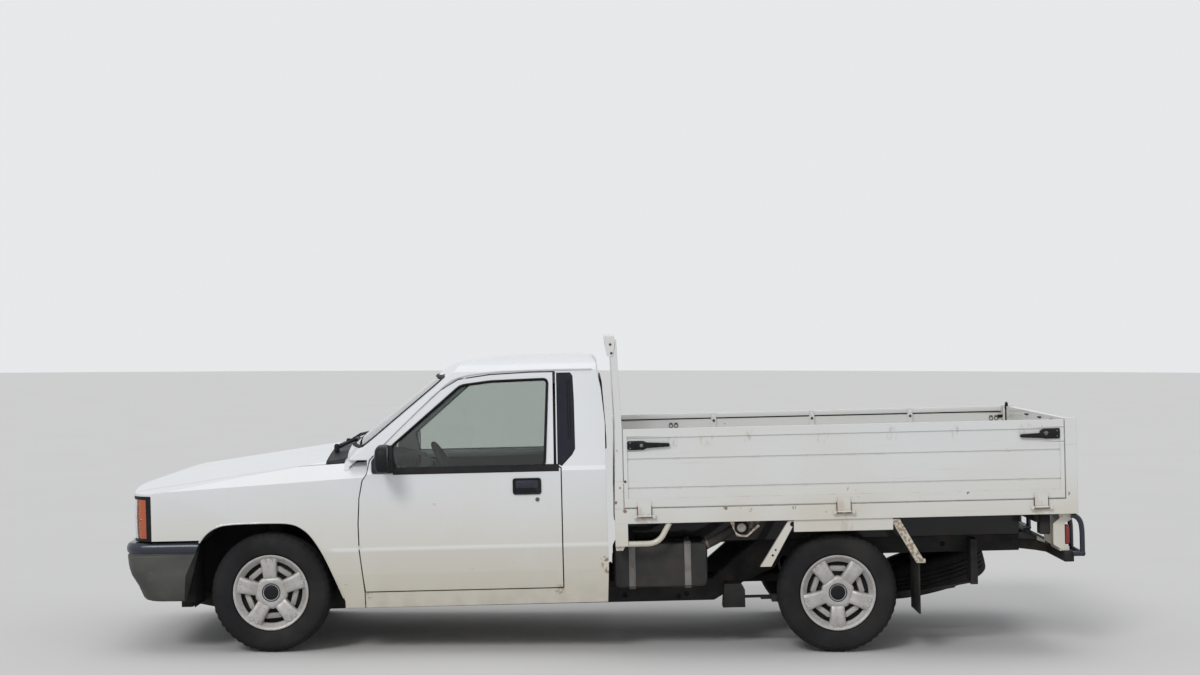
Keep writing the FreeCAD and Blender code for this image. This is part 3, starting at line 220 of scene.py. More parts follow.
def tray_paint(name="tray_paint", colour=(0.715, 0.72, 0.715), cream=(0.67, 0.65, 0.58), worn=1.2):
    """The tray's paint: yellower, chipped along its edges, scuffed on the floor, near-black underneath as
    the subframe's black and as painted shade, with painted shadows round the hinge straps and painted shade
    along the latches' recesses.
    """
    s = worn_paint(name, colour, cream, worn)
    s.tint((s.noise(2.2, 0.4, 0.7, stretch=(1, 1, 2)), s.height(0.62, 0.86)), (0.62, 0.57, 0.47), 0.75)
    s.tint(s.noise(5.0, 0.62, 0.8, stretch=(0.35, 1, 9)), (0.55, 0.50, 0.43), 0.35)
    for x in (strap + 35 for strap in STRAPS):
        stain = s.times(s.away("X", x * MM, 0.034, 0.052), s.height(0.70, 0.76))
        s.tint((stain, s.noise(24.0, 0.46, 0.64, stretch=(1, 1, 0.4))), (0.40, 0.28, 0.19), 0.35)
        # Painted shadow with rust: a dark line under each strap's foot, which also falls on the rail behind.
        foot = s.times(s.away("X", x * MM, 0.038, 0.046), s.away("Z", 0.6655, 0.0045, 0.0065))
        s.tint((foot, s.noise(40.0, 0.2, 0.5)), (0.13, 0.085, 0.055), 0.9)
        # Painted shadow: thin dark lines down both edges of each strap.
        for side in (-0.0365, 0.0365):
            s.tint((s.away("X", x * MM + side, 0.0012, 0.0034), s.away("Z", 0.698, 0.022, 0.027)),
                (0.17, 0.15, 0.12), 0.8)
    # Painted shade: thin dark lines along the top and bottom edges of the pressed recess round each latch.
    for z, x0, x1 in ((1.008, 1.873, 2.02), (1.082, 1.873, 2.10), (1.008, 4.130, 3.98),
            (1.082, 4.130, 3.90)):
        line = s.times(s.away("Z", z, 0.0010, 0.0032), s.ramp(s.axis("X"), x1, x0))
        s.tint((line, s.away("X", (x0 + x1) / 2, abs(x1 - x0) / 2, abs(x1 - x0) / 2 + 0.002)),
            (0.24, 0.23, 0.19), 0.85)
    s.tint((s.edges(0.004), s.noise(17.0, 0.54, 0.66, detail=6.0)), (0.34, 0.25, 0.18), 0.5)
    for x, z, radius in ((2377, 704, 15), (2457, 706, 9), (2505, 692, 13), (2731, 698, 13), (1812, 744, 12),
            (1858, 700, 15), (4148, 738, 12), (3630, 752, 10), (1822, 1010, 9), (1834, 820, 9)):
        s.tint((s.spot(x, -850, z, radius), s.noise(90.0, 0.42, 0.52, detail=6.0)), RUST, 0.9)
    for x in (2125, 2290, 2520, 2890, 3240, 3590, 3935):
        s.tint((s.spot(x, -850, 1064, 52), s.noise(30.0, 0.5, 0.66, stretch=(2, 1, 0.6))),
            (0.42, 0.39, 0.31), 0.55)
    floor = s.times(s.away("Z", 0.712, 0.006, 0.009), s.away("Y", 0.0, 0.80, 0.81))
    s.tint((floor, s.noise(3.0, 0.3, 0.6, stretch=(0.3, 1, 1))), (0.30, 0.27, 0.24), 0.75)
    s.tint((floor, s.noise(30.0, 0.5, 0.65, stretch=(0.1, 1, 1))), (0.52, 0.49, 0.44), 0.6)
    # Near-black underneath: partly the subframe's own black, partly painted shade.
    black_and_shaded_underside = s.times(s.times(s.away("Y", 0.0, 0.795, 0.80), s.height(0.694, 0.698)),
        s.away("X", 2.9, 1.165, 1.17))
    s.tint(black_and_shaded_underside, (0.018, 0.018, 0.018))
    s.roughen(black_and_shaded_underside, 0.8)
    if worn > 4:
        s.tint(s.noise(55.0, 0.47, 0.56, detail=6.0), (0.20, 0.11, 0.06), 0.75)
    return s.material


def rubber(name, colour, rough, dust):
    s = Shader(name, colour, rough, Specular_IOR_Level=0.18)
    s.tint(s.noise(6.0, 0.35, 0.75), tuple(c * 1.6 + 0.004 for c in colour), 0.6)
    s.tint(s.noise(2.2, 0.4, 0.8), DUST, dust)
    s.roughen(s.noise(14.0, 0.3, 0.7), min(1.0, rough + 0.15))
    s.relief(s.noise(420.0, detail=2.0), 0.0004, 0.5)
    return s.material


def plastic(name, colour, rough, grain=900.0, shine=0.2):
    s = Shader(name, colour, rough, Specular_IOR_Level=shine)
    s.tint(s.noise(3.0, 0.3, 0.8), tuple(c * 1.6 + 0.003 for c in colour), 0.5)
    s.tint(s.noise(18.0, 0.6, 0.8), DUST, 0.06)
    s.roughen(s.noise(8.0, 0.3, 0.7), rough + 0.14)
    s.relief(s.noise(grain, detail=1.0), 0.0003, 0.45)
    return s.material


def underside(name, colour, rough, rust, metal=0.0, dust=0.1):
    """Chassis black or bare steel: dusty, oily and rusty in patches."""
    s = Shader(name, colour, rough, metal=metal)
    s.tint(s.noise(4.0, 0.35, 0.75), tuple(c * 0.4 for c in colour), 0.7)
    s.tint(s.noise(11.0, 0.52, 0.66, detail=6.0), (0.11, 0.055, 0.03), rust)
    s.tint(s.noise(3.0, 0.45, 0.8), DUST, dust)
    s.roughen(s.noise(9.0, 0.3, 0.7), min(1.0, rough + 0.2))
    s.relief(s.noise(160.0, detail=4.0), 0.0008, 0.5)
    return s.material


def silver():
    s = Shader("wheel_silver", (0.50, 0.49, 0.48), 0.42, metal=0.55)
    s.tint(s.noise(9.0, 0.35, 0.7), (0.36, 0.33, 0.30), 0.55)
    s.tint(s.noise(60.0, 0.5, 0.72), (0.30, 0.25, 0.21), 0.45)
    s.roughen(s.noise(22.0, 0.3, 0.7), 0.62)
    s.relief(s.noise(500.0, detail=2.0), 0.0003, 0.4)
    return s.material


def two_tone_bumper():
    """Shiny blue-black band above the groove, faded olive-grey plastic below it."""
    s = Shader("bumper", (0.035, 0.035, 0.033), 0.62)
    s.tint(s.noise(2.5, 0.3, 0.75, stretch=(1, 1, 2.5)), (0.085, 0.083, 0.072), 0.75)
    s.tint(s.noise(14.0, 0.55, 0.8), (0.13, 0.125, 0.11), 0.35)
    s.tint(s.height(0.30, 0.42), (0.02, 0.02, 0.02), 0.4)
    band = s.ramp(s.axis("Z"), 0.5305, 0.5335)
    s.tint(band, (0.022, 0.027, 0.042))
    s.roughen(band, 0.24)
    s.relief(s.noise(380.0, detail=2.0), 0.0004, 0.5)
    return s.material


def glass(name, tint):
    s = Shader(name, tint, 0.02, rounding=0.0, Transmission_Weight=1.0, IOR=1.45)
    s.roughen(s.noise(4.0, 0.45, 0.8, stretch=(1, 1, 0.4)), 0.08)
    return s.material


def lens(name, tint, lines):
    s = Shader(name, tint, 0.12, rounding=0.0, coat=0.6, Transmission_Weight=0.35, IOR=1.49)
    s.tint(s.noise(12.0, 0.45, 0.75), tuple(c * 0.75 for c in tint), 0.4)
    s.relief(s.waves("Z", lines), 0.0015, 0.6)
    return s.material


def fabric(name, colour, other):
    s = Shader(name, colour, 0.9, rounding=0.0, Sheen_Weight=0.35)
    s.tint(s.noise(5.0, 0.3, 0.75), other, 0.5)
    weave = s.waves("DIAGONAL", 170.0)
    s.tint(weave, tuple(c * 0.6 for c in other), 0.35)
    s.relief(weave, 0.0008, 0.6)
    return s.material


FINISHES = [
    paint(),
    tray_paint(),
    tray_paint("rail_cream", (0.62, 0.59, 0.52), (0.54, 0.50, 0.41), 2.2),
    tray_paint("strut_rust", (0.50, 0.44, 0.36), (0.36, 0.27, 0.19), 7.0),
    two_tone_bumper(),
    plastic("black_plastic", (0.008, 0.0085, 0.010), 0.42),
    plastic("gloss_dark", (0.012, 0.016, 0.030), 0.22, shine=0.5),
    underside("liner", (0.008, 0.008, 0.0085), 0.85, 0.03, dust=0.03),
    plastic("dial", (0.5, 0.5, 0.48), 0.4),
    underside("bright_steel", (0.46, 0.44, 0.41), 0.5, 0.25, 0.3),
    plastic("lamp_grey", (0.42, 0.42, 0.42), 0.4),
    underside("rusty_steel", (0.045, 0.038, 0.034), 0.7, 0.7, 0.3),
    fabric("belt", (0.03, 0.03, 0.033), (0.05, 0.05, 0.055)),
    plastic("dark_trim", (0.008, 0.011, 0.018), 0.4, shine=0.15),
    rubber("seal", (0.005, 0.005, 0.006), 0.55, 0.02),
    glass("glass", (0.70, 0.75, 0.72)),
    glass("screen_glass", (0.42, 0.48, 0.46)),
    rubber("tyre", (0.013, 0.013, 0.014), 0.72, 0.045),
    silver(),
    underside("chassis", (0.013, 0.013, 0.013), 0.7, 0.18, dust=0.05),
    underside("rusty", (0.14, 0.10, 0.075), 0.8, 0.8),
    underside("steel", (0.24, 0.23, 0.22), 0.5, 0.5, 0.7),
    underside("tank", (0.012, 0.012, 0.0125), 0.55, 0.10, dust=0.05),
    underside("mirror", (0.85, 0.86, 0.88), 0.03, 0.0, 1.0),
    Shader("reflector", (0.8, 0.8, 0.78), 0.12, metal=1.0).material,
    lens("lens_clear", (0.86, 0.87, 0.86), 26.0),
    lens("lens_amber", (0.62, 0.11, 0.006), 30.0),
    lens("lens_red", (0.38, 0.008, 0.008), 30.0),
    plastic("interior", (0.045, 0.047, 0.052), 0.6),
    fabric("seat_fabric", (0.075, 0.078, 0.085), (0.13, 0.13, 0.135)),
    underside("engine", (0.09, 0.09, 0.088), 0.6, 0.25, 0.4),
    rubber("mud_rubber", (0.014, 0.014, 0.014), 0.75, 0.25),
]
MATERIALS = {finish.name.split(".")[0]: finish for finish in FINISHES}


# Mesh building

def add_object(name, data):
    obj = bpy.data.objects.new(name, data)
    bpy.context.scene.collection.objects.link(obj)
    return obj


def turns(count):
    """Angles once round, in even steps."""
    return [2 * math.pi * k / count for k in range(count)]


def spoke_axes(angle):
    """Outwards and sideways for a spoke at an angle round the y axis."""
    return Vector((math.cos(angle), 0, math.sin(angle))), Vector((-math.sin(angle), 0, math.cos(angle)))


def rect(u0, u1, v0, v1):
    return [(u0, v0), (u1, v0), (u1, v1), (u0, v1)]


def arc_points(start, middle, end, count):
    """Points along the arc through three points of a plane, without its start."""
    (ax, ay), (bx, by), (cx, cy) = start, middle, end
    d = 2 * (ax * (by - cy) + bx * (cy - ay) + cx * (ay - by))
    a2, b2, c2 = ax * ax + ay * ay, bx * bx + by * by, cx * cx + cy * cy
    ux = (a2 * (by - cy) + b2 * (cy - ay) + c2 * (ay - by)) / d
    uy = (a2 * (cx - bx) + b2 * (ax - cx) + c2 * (bx - ax)) / d
    radius = math.hypot(ax - ux, ay - uy)
    t0, t1, t2 = (math.atan2(y - uy, x - ux) for x, y in (start, middle, end))
    turn = (t2 - t0) % (2 * math.pi)
    if (t1 - t0) % (2 * math.pi) > turn:
        turn -= 2 * math.pi
    return [(ux + radius * math.cos(t0 + turn * i / count), uy + radius * math.sin(t0 + turn * i / count))
        for i in range(1, count + 1)]


def rounded(points, radius, steps=4):
    """A flat outline with its corners cut round."""
    result = []
    count = len(points)
    for i, corner in enumerate(points):
        corner = Vector(corner)
        before = Vector(points[i - 1]) - corner
        after = Vector(points[(i + 1) % count]) - corner
        reach = min(radius, before.length * 0.49, after.length * 0.49)
        a, b = corner + before.normalized() * reach, corner + after.normalized() * reach
        for k in range(steps + 1):
            t = k / steps
            result.append(tuple(a * (1 - t) ** 2 + corner * 2 * t * (1 - t) + b * t * t))
    return result


def place(p, axis, at):
    u, v = p
    return {"x": (at, u, v), "y": (u, at, v), "z": (u, v, at)}[axis]


def smooth_path(points, steps=6):
    """A Catmull-Rom line through the points."""
    pts = [Vector(p) for p in points]
    pts = [pts[0] * 2 - pts[1]] + pts + [pts[-1] * 2 - pts[-2]]
    result = []
    for i in range(1, len(pts) - 2):
        p0, p1, p2, p3 = pts[i - 1:i + 3]
        for k in range(steps):
            t = k / steps
            result.append(0.5 * (2 * p1 + (p2 - p0) * t + (2 * p0 - 5 * p1 + 4 * p2 - p3) * t * t
                + (3 * p1 - p0 - 3 * p2 + p3) * t ** 3))
    return result + [pts[-2]]


BEVEL_FROM = math.radians(25)
OTHER_SIDE = Matrix.Scale(-1, 4, (0, 1, 0))


class Form:
    """Collects faces in millimetres, then becomes a piece that rides on a body."""

    def __init__(self):
        self.points = []
        self.faces = []

    def add(self, points, faces):
        first = len(self.points)
        self.points += [Vector(p) for p in points]
        self.faces += [[i + first for i in face] for face in faces]
        return self

    def loft(self, rings, closed=False):
        """Skin between rings of equally many points, with ends unless the last ring meets the first."""
        count, rows = len(rings[0]), list(range(len(rings)))
        faces = [(a * count + i, a * count + j, b * count + j, b * count + i)
            for a, b in list(zip(rows, rows[1:])) + ([(rows[-1], 0)] if closed else [])
            for i, j in zip(range(count), list(range(1, count)) + [0])]
        if not closed:
            last = (len(rings) - 1) * count
            faces += [tuple(reversed(range(count))), tuple(range(last, last + count))]
        return self.add([p for ring in rings for p in ring], faces)

    def prism(self, outline, axis, *stations):
        """One outline at two or more places along an axis."""
        return self.loft([[place(p, axis, at) for p in outline] for at in stations])

    def carry(self, section, axis, path):
        """A flat section, drawn round the origin across an axis, carried along points."""
        return self.loft([[Vector(p) + Vector(place(s, axis, 0)) for s in section] for p in path])

    def frame(self, outer, inner, axis, low, high):
        """A flat ring between two outlines of equally many points."""
        rows = ((outer, low), (outer, high), (inner, high), (inner, low))
        return self.loft([[place(p, axis, at) for p in ring] for ring, at in rows], closed=True)

    def box(self, x0, x1, y0, y1, z0, z1):
        return self.prism(rect(x0, x1, y0, y1), "z", z0, z1)

    def tube(self, path, radius, sides=12, closed=False, flat=1.0):
        """A round bar along a path; flat below 1 squeezes it."""
        pts = [Vector(p) for p in path]
        count = len(pts)
        rings = []
        side = None
        for i, p in enumerate(pts):
            before = pts[i - 1] if i or closed else p
            after = pts[(i + 1) % count] if i < count - 1 or closed else p
            way = (after - before).normalized()
            if side is None:
                side = way.orthogonal().normalized()
            side = (side - way * side.dot(way)).normalized()
            up = way.cross(side)
            r = radius[i] if isinstance(radius, (list, tuple)) else radius
            rings.append([p + (side * math.cos(a) + up * math.sin(a) * flat) * r for a in turns(sides)])
        return self.loft(rings, closed=closed)

    def lathe(self, profile, centre, axis="y", sides=48, closed=False):
        """Rows of radius and offset, turned round an axis."""
        rings = [[Vector(centre) + Vector(place((r * math.cos(a), r * math.sin(a)), axis, offset))
            for a in turns(sides)] for r, offset in profile]
        return self.loft(rings, closed=closed)

    def sheet(self, rows, thick):
        """A curved panel from rows of points, with a thickness along its own normals."""
        height, width = len(rows), len(rows[0])
        grid = [[Vector(p) for p in row] for row in rows]
        back = []
        for i in range(height):
            line = []
            for j in range(width):
                du = grid[min(i + 1, height - 1)][j] - grid[max(i - 1, 0)][j]
                dv = grid[i][min(j + 1, width - 1)] - grid[i][max(j - 1, 0)]
                line.append(grid[i][j] + du.cross(dv).normalized() * thick)
            back.append(line)
        n = height * width
        faces = []
        for i in range(height - 1):
            for j in range(width - 1):
                a, b, c, d = i * width + j, i * width + j + 1, (i + 1) * width + j + 1, (i + 1) * width + j
                faces += [(a, b, c, d), (d + n, c + n, b + n, a + n)]
        edge = list(range(width)) + [i * width + width - 1 for i in range(1, height)]
        edge += [(height - 1) * width + j for j in range(width - 2, -1, -1)]
        edge += [i * width for i in range(height - 2, 0, -1)]
        for k, a in enumerate(edge):
            b = edge[(k + 1) % len(edge)]
            faces.append((b, a, a + n, b + n))
        return self.add([p for row in grid for p in row] + [p for row in back for p in row], faces)

    def mirror(self):
        """The same again on the truck's other side."""
        return self.add([Vector((p.x, -p.y, p.z)) for p in self.points], [f[::-1] for f in self.faces])

    def turned(self, matrix):
        self.points = [matrix @ p for p in self.points]
        return self

    def piece(self, name, material, body="truck", where=BODY, bevel=0.0, segments=2, sharp=38.0,
            replaces=()):
        """The form as an object in the row frame, smooth but for its sharp edges, that rides on a body."""
        mesh = bpy.data.meshes.new(name)
        mesh.from_pydata([where @ p for p in self.points], [], self.faces)
        bm = bmesh.new()
        bm.from_mesh(mesh)
        bmesh.ops.remove_doubles(bm, verts=bm.verts, dist=1e-6)
        bmesh.ops.recalc_face_normals(bm, faces=bm.faces)
        if bevel:
            edges = [e for e in bm.edges if len(e.link_faces) == 2 and e.calc_face_angle(0) > BEVEL_FROM]
            bmesh.ops.bevel(bm, geom=edges, offset=bevel * MM, offset_type="OFFSET", segments=segments,
                profile=0.5, affect="EDGES", clamp_overlap=True)
        bm.to_mesh(mesh)
        bm.free()
        for polygon in mesh.polygons:
            polygon.use_smooth = True
        mesh.set_sharp_from_angle(angle=math.radians(sharp))
        mesh.materials.append(MATERIALS[material])
        obj = add_object(name, mesh)
        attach(obj, body)
        if replaces:
            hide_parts(*replaces)
        return obj

    def on(self, sign, name, *args, **finish):
        """The form, drawn on the left side, as a piece of the side that is asked for."""
        if sign > 0:
            self.turned(OTHER_SIDE)
        return self.piece(name + ("_left" if sign < 0 else "_right"), *args, **finish)


def sided(build):
    """Run a builder for the left and the right side."""
    build(-1, "left")
    build(1, "right")


# Curves of the body that trims follow

CAB_SECTION = [(216, 772), (400, 808), (527, 822), (640, 817), (915, 806), (937, 785), (1400, 652),
    (1432, 643)]


def side_y(z):
    """Half width of the cab's side at a height."""
    for (z0, y0), (z1, y1) in zip(CAB_SECTION, CAB_SECTION[1:]):
        if z <= z1:
            return y0 + (y1 - y0) * (z - z0) / (z1 - z0)
    return CAB_SECTION[-1][1]


SCREEN_BOW = 3700.0
SLOPE = Vector((477.0, 0.0, 364.0)).normalized()
INWARD = Vector((SLOPE.z, 0.0, -SLOPE.x))


def screen_point(y, z, out=0.0):
    """A point of the windshield's face at a side offset and height, moved outwards by out."""
    fall = SCREEN_BOW - math.sqrt(SCREEN_BOW ** 2 - y * y)
    along = (z - 1060 + 0.795 * fall) / SLOPE.z
    return Vector((392, 0, 1060)) + SLOPE * along + INWARD * (fall - out) + Vector((0, y, 0))


PLAN_CORNER = [(-560.0, -808.0)] + arc_points((-560, -808), (-664, -768), (-704, -640), 14)
PLAN_FRONT = arc_points((-704, -640), (-735, 0), (-704, 640), 32)
PLAN = PLAN_CORNER + PLAN_FRONT


# Camera, floor and light

IMAGE_WIDTH = 1200
FOCAL_PIXELS = 2083
SENSOR = 36.0
CAMERA = (0.0, -11.595, 1.729)
CAMERA_TILT = math.radians(89.52)


def stage():
    """The photograph's camera, a pale floor and surround, a soft dome and two suns."""
    scene = bpy.context.scene
    scene.view_settings.view_transform = "Standard"
    camera = scene.camera = add_object("camera", bpy.data.cameras.new("camera"))
    camera.location = CAMERA
    camera.rotation_euler = (CAMERA_TILT, 0, 0)
    camera.data.sensor_width = SENSOR
    camera.data.lens = SENSOR * FOCAL_PIXELS / IMAGE_WIDTH
    camera.data.clip_end = 200
    mesh = bpy.data.meshes.new("floor")
    mesh.from_pydata([(60 * math.cos(a), 60 * math.sin(a), 0) for a in turns(64)], [], [tuple(range(64))])
    s = Shader("floor", (0.62, 0.61, 0.60), 0.85, rounding=0.0)
    s.tint(s.noise(0.8), (0.58, 0.57, 0.56), 0.6)
    mesh.materials.append(s.material)
    add_object("floor", mesh)
    world = scene.world = bpy.data.worlds.new("studio")
    world.use_nodes = True
    tree = world.node_tree
    dome = tree.nodes["Background"]
    dome.inputs["Color"].default_value = (0.93, 0.96, 1.0, 1)
    dome.inputs["Strength"].default_value = 0.58
    seen = new_node(tree, "Background", in_Color=(0.80, 0.81, 0.82, 1), in_Strength=1.0)
    rays = new_node(tree, "LightPath").outputs
    either = rays["Is Camera Ray"]
    for name in ("Is Glossy Ray", "Is Transmission Ray"):
        either = new_node(tree, "Math", operation="MAXIMUM", in_0=either, in_1=rays[name]).outputs[0]
    mix = new_node(tree, "MixShader", in_0=either, in_1=dome.outputs[0], in_2=seen.outputs[0])
    tree.links.new(mix.outputs[0], tree.nodes["World Output"].inputs["Surface"])
    for name, angles, energy, angle in (("key", (52, 0, -24), 1.14, 18), ("top", (8, 0, 160), 0.60, 40)):
        lamp = add_object(name, bpy.data.lights.new(name, "SUN"))
        lamp.data.energy = energy
        lamp.data.angle = math.radians(angle)
        lamp.rotation_euler = [math.radians(a) for a in angles]


stage()

# CAD nodes that stay get their slot's material

OTHER = {
    "windshield": "screen_glass",
    "front_panel": "liner", "wheel_housing_left": "liner", "wheel_housing_right": "liner",
    "quarter_trims": "dark_trim", "cowl_panel": "black_plastic", "grille": "black_plastic",
}
for name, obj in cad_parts.items():
    old = obj.data.materials[0].name.split(".")[0] if obj.data.materials else ""
    key = OTHER.get(name, old)
    obj.data.materials.clear()
    obj.data.materials.append(MATERIALS[key])


# Wheels

TYRE_TOP = HUB.z / MM


def tyre_form(centre):
    """Tread with three grooves and cut shoulders, sidewall with a rim guard."""
    top = TYRE_TOP
    half = [(top, 0), (top, 6), (top - 7, 8), (top - 7, 12), (top, 14), (top - 0.3, 31), (top - 7, 33),
        (top - 7, 38), (top - 1, 40), (top - 3, 60), (top - 7, 72), (top - 14, 80), (top - 22, 85),
        (top - 24, 87), (278, 90), (262, 92), (245, 91.8), (228, 88.5), (214, 83), (208, 82), (204, 79),
        (199, 71), (196, 66)]
    profile = [(r, -y) for r, y in reversed(half)] + half[1:] + [(190, 60), (190, -60)]
    sides = 144
    form = Form().lathe(profile, centre, "y", sides, closed=True)
    c = Vector(centre)
    for row, (radius, offset) in enumerate(profile):
        if 40 <= abs(offset) <= 86 and radius > 280:
            for k in range(sides):
                if (k + (offset > 0)) % 3 == 0:
                    p = form.points[row * sides + k]
                    away = Vector((p.x - c.x, 0, p.z - c.z)).normalized()
                    form.points[row * sides + k] = p - away * (5.0 if abs(offset) > 50 else 2.5)
    return form


def wheel_form(spoke):
    """Cover with five broad spokes from an angle on, drawn round the origin, its face towards -y."""
    form = Form()
    barrel = [(194, -66), (196.5, -74), (196, -79), (190, -80), (184, -77), (176, -66), (169, -58),
        (164, -54)]
    inner = [(160, -48), (168, -44), (178, -30), (178, 60), (190, 72), (194, 70)]
    form.lathe(barrel + inner, (0, 0, 0), "y", 90, closed=True)
    rings = []
    for radius, y in ((20, -62), (52, -67), (62, -67), (72, -66), (79, -62), (82, -56), (82, -42),
            (20, -40)):
        wave = 5 if radius > 60 else 0
        rs = [(radius + wave * math.cos(5 * (a - math.radians(spoke + 36))), a) for a in turns(90)]
        rings.append([(r * math.cos(a), y, r * math.sin(a)) for r, a in rs])
    form.loft(rings)
    for k in range(5):
        out, side = spoke_axes(math.radians(spoke + 72 * k))
        rings = []
        for r, half, y, deep in ((60, 33, -58, 22), (78, 34, -66, 26), (92, 34, -71, 26),
                (130, 37, -74, 22), (158, 40, -74, 20), (176, 43, -71, 14), (188, 45, -68, 6)):
            ring = [(-half - 4, y + deep), (-half, y + 4), (-half + 5, y), (-half * 0.45, y - 0.5),
                (0, y + 0.5), (half * 0.45, y - 0.5), (half - 5, y), (half, y + 4), (half + 4, y + deep)]
            rings.append([out * math.sqrt(max(r * r - u * u * 0.55, 1)) + side * u + Vector((0, v, 0))
                for u, v in ring])
        form.loft(rings)
        for u in (-16, 16):
            form.lathe([(0, -76), (3, -76), (8, -77.5), (9, -73), (9, -66), (0, -66)], out * 168 + side * u,
                "y", 12)
    return form


def cap_form():
    """Bare black centre cap inside a thin ring."""
    form = Form().lathe([(0, -71), (20, -72), (34, -70), (38, -68), (39, -60), (0, -58)], (0, 0, 0), "y", 40)
    return form.lathe([(43, -66), (44, -70), (47, -70), (48, -66)], (0, 0, 0), "y", 40, closed=True)


def oval_bar(angle, radius, half, thick, low, high):
    """A bar with round ends, tangent to a circle round the origin."""
    out, side = spoke_axes(angle)
    ring = [(math.copysign(half - thick, math.cos(a)) + thick * math.cos(a), thick * math.sin(a))
        for a in turns(20)]
    rows = [(high, 1.0), (low + 5, 1.0), (low + 1, 0.8), (low, 0.5)]
    return Form().loft([[out * (radius + v * s) + side * u * (0.9 + 0.1 * s) + Vector((0, y, 0))
        for u, v in ring] for y, s in rows])


def backing_form():
    """The steel wheel behind the cover, dark, with its nave and bolts."""
    form = Form().lathe([(20.5, -30), (60, -34), (100, -30), (150, -28), (178, -22), (178, -12), (60, -16),
        (20.5, -16)], (0, 0, 0), "y", 60, closed=True)
    for k in range(5):
        a = math.radians(36 + 72 * k)
        form.lathe([(0, -44), (7, -44), (9, -42), (10, -28), (0, -28)],
            (57 * math.cos(a), 0, 57 * math.sin(a)), "y", 6)
    return form


def wheel(axle, side, x, way, spoke):
    """Tyre, cover, cap and what shows behind the cover's windows."""
    corner = axle + "_" + side
    body = "wheel_" + axle[0] + side[0]
    centre = Vector((x, way * TRACK / 2, TYRE_R))
    tyre_form(centre).piece("tread_" + corner, "tyre", body, GROUND, sharp=30, replaces=["tyre_" + corner])
    ovals = Form()
    for k in range(5):
        bar = oval_bar(math.radians(spoke + 36 + 72 * k), 123, 46, 15, -48, -27)
        ovals.add(bar.points, bar.faces)
    turn = Matrix.Translation(centre) @ (OTHER_SIDE if way > 0 else Matrix.Identity(4))
    for form, part, material, finish in ((wheel_form(spoke), "cover_", "wheel_silver",
            {"sharp": 40, "replaces": ["wheel_" + corner]}), (cap_form(), "cap_", "black_plastic", {}),
            (backing_form(), "backing_", "liner", {}), (ovals, "slots_", "bright_steel", {})):
        form.turned(turn).piece(part + corner, material, body, GROUND, **finish)


sided(lambda sign, side: wheel("front", side, 0, sign, 95))
sided(lambda sign, side: wheel("rear", side, WHEELBASE, sign, -90))


# Front bumper: rows of outwards and height, led round the plan, drawn back towards its foot

def rise(table, z):
    """Value between the rows of a table of height and value."""
    for (z0, v0), (z1, v1) in zip(table, table[1:]):
        if z <= z1:
            return v0 + (v1 - v0) * max(0.0, (z - z0) / (z1 - z0))
    return table[-1][1]


def outward(path, i):
    a, b = Vector(path[max(i - 1, 0)]), Vector(path[min(i + 1, len(path) - 1)])
    way = (b - a).normalized()
    normal = Vector((way.y, -way.x))
    return normal if normal.dot(Vector(path[i]) - Vector((600, 0))) > 0 else -normal


def wrap(path, section):
    """A section of rows of outwards and height, led along a plan line."""
    rings = []
    for i, (x, y) in enumerate(path):
        n = outward(path, i)
        rings.append([(x + n.x * out, y + n.y * out, z) for out, z in section])
    return Form().loft(rings)


BUMPER_REAR = [(277, -441), (416, -428), (514, -381), (578, -355), (590, -357)]
BUMPER_BACK = [(280, 92), (297, 80), (357, 54), (412, 20), (430, 12), (473, 4), (522, 0)]
BUMPER_ROWS = [(-58, 288), (-16, 280), (-4, 285), (0, 298), (0, 330), (0, 357), (0, 385), (0, 412),
    (0, 445), (0, 473), (0, 505), (0, 517), (-1.5, 521), (-7, 523), (-7, 530), (-1, 533), (2, 539),
    (4, 550), (3, 564), (-2, 576), (-12, 585), (-40, 588), (-58, 585)]


def bumper_plan(z):
    rear = rise(BUMPER_REAR, z)
    half = [(rear + (-650 - rear) * t, -805 + 10 * t) for t in (0, 0.25, 0.5, 0.75, 1)]
    half += arc_points((-650, -795), (-718, -757), (-748, -640), 10) + [(-759, -560), (-768, -480),
        (-777, -365)]
    half += [(-784, -250), (-788, -125), (-790, 0)]
    whole = half + [(x, -y) for x, y in reversed(half[:-1])]
    back = rise(BUMPER_BACK, z)
    return whole, [(x + back * min(1, max(0, (-430 - x) / 220)), y) for x, y in whole]


def bumper():
    """The cover, row by row, and the irons behind it."""
    columns = []
    for out, z in BUMPER_ROWS:
        plan, drawn = bumper_plan(z)
        columns.append([(x + outward(plan, i).x * out, y + outward(plan, i).y * out, z)
            for i, (x, y) in enumerate(drawn)])
    Form().loft(list(zip(*columns))).piece("bumper_cover", "bumper", sharp=30, replaces=["front_bumper"])
    rails = Form()
    for y in (-430, 430):
        rails.carry(rect(-22, 22, -22, 22), "x", [(-540, y, 262), (-575, y, 268), (-625, y, 318),
            (-690, y, 322)])
    rails.piece("bumper_irons", "chassis", bevel=3)


bumper()


# Lamps

def corner_path(low, high):
    """The nose's plan line on the left side, between two side offsets."""
    return [p for p in PLAN if low <= p[1] <= high]


def lens_rows(z0, z1, bulge, thick, count=10):
    """A closed section that bulges outwards between two heights."""
    face = [(bulge * math.sin(math.pi * k / count) - 1, z0 + (z1 - z0) * k / count)
        for k in range(count + 1)]
    return face + [(out - thick, z) for out, z in reversed(face)]


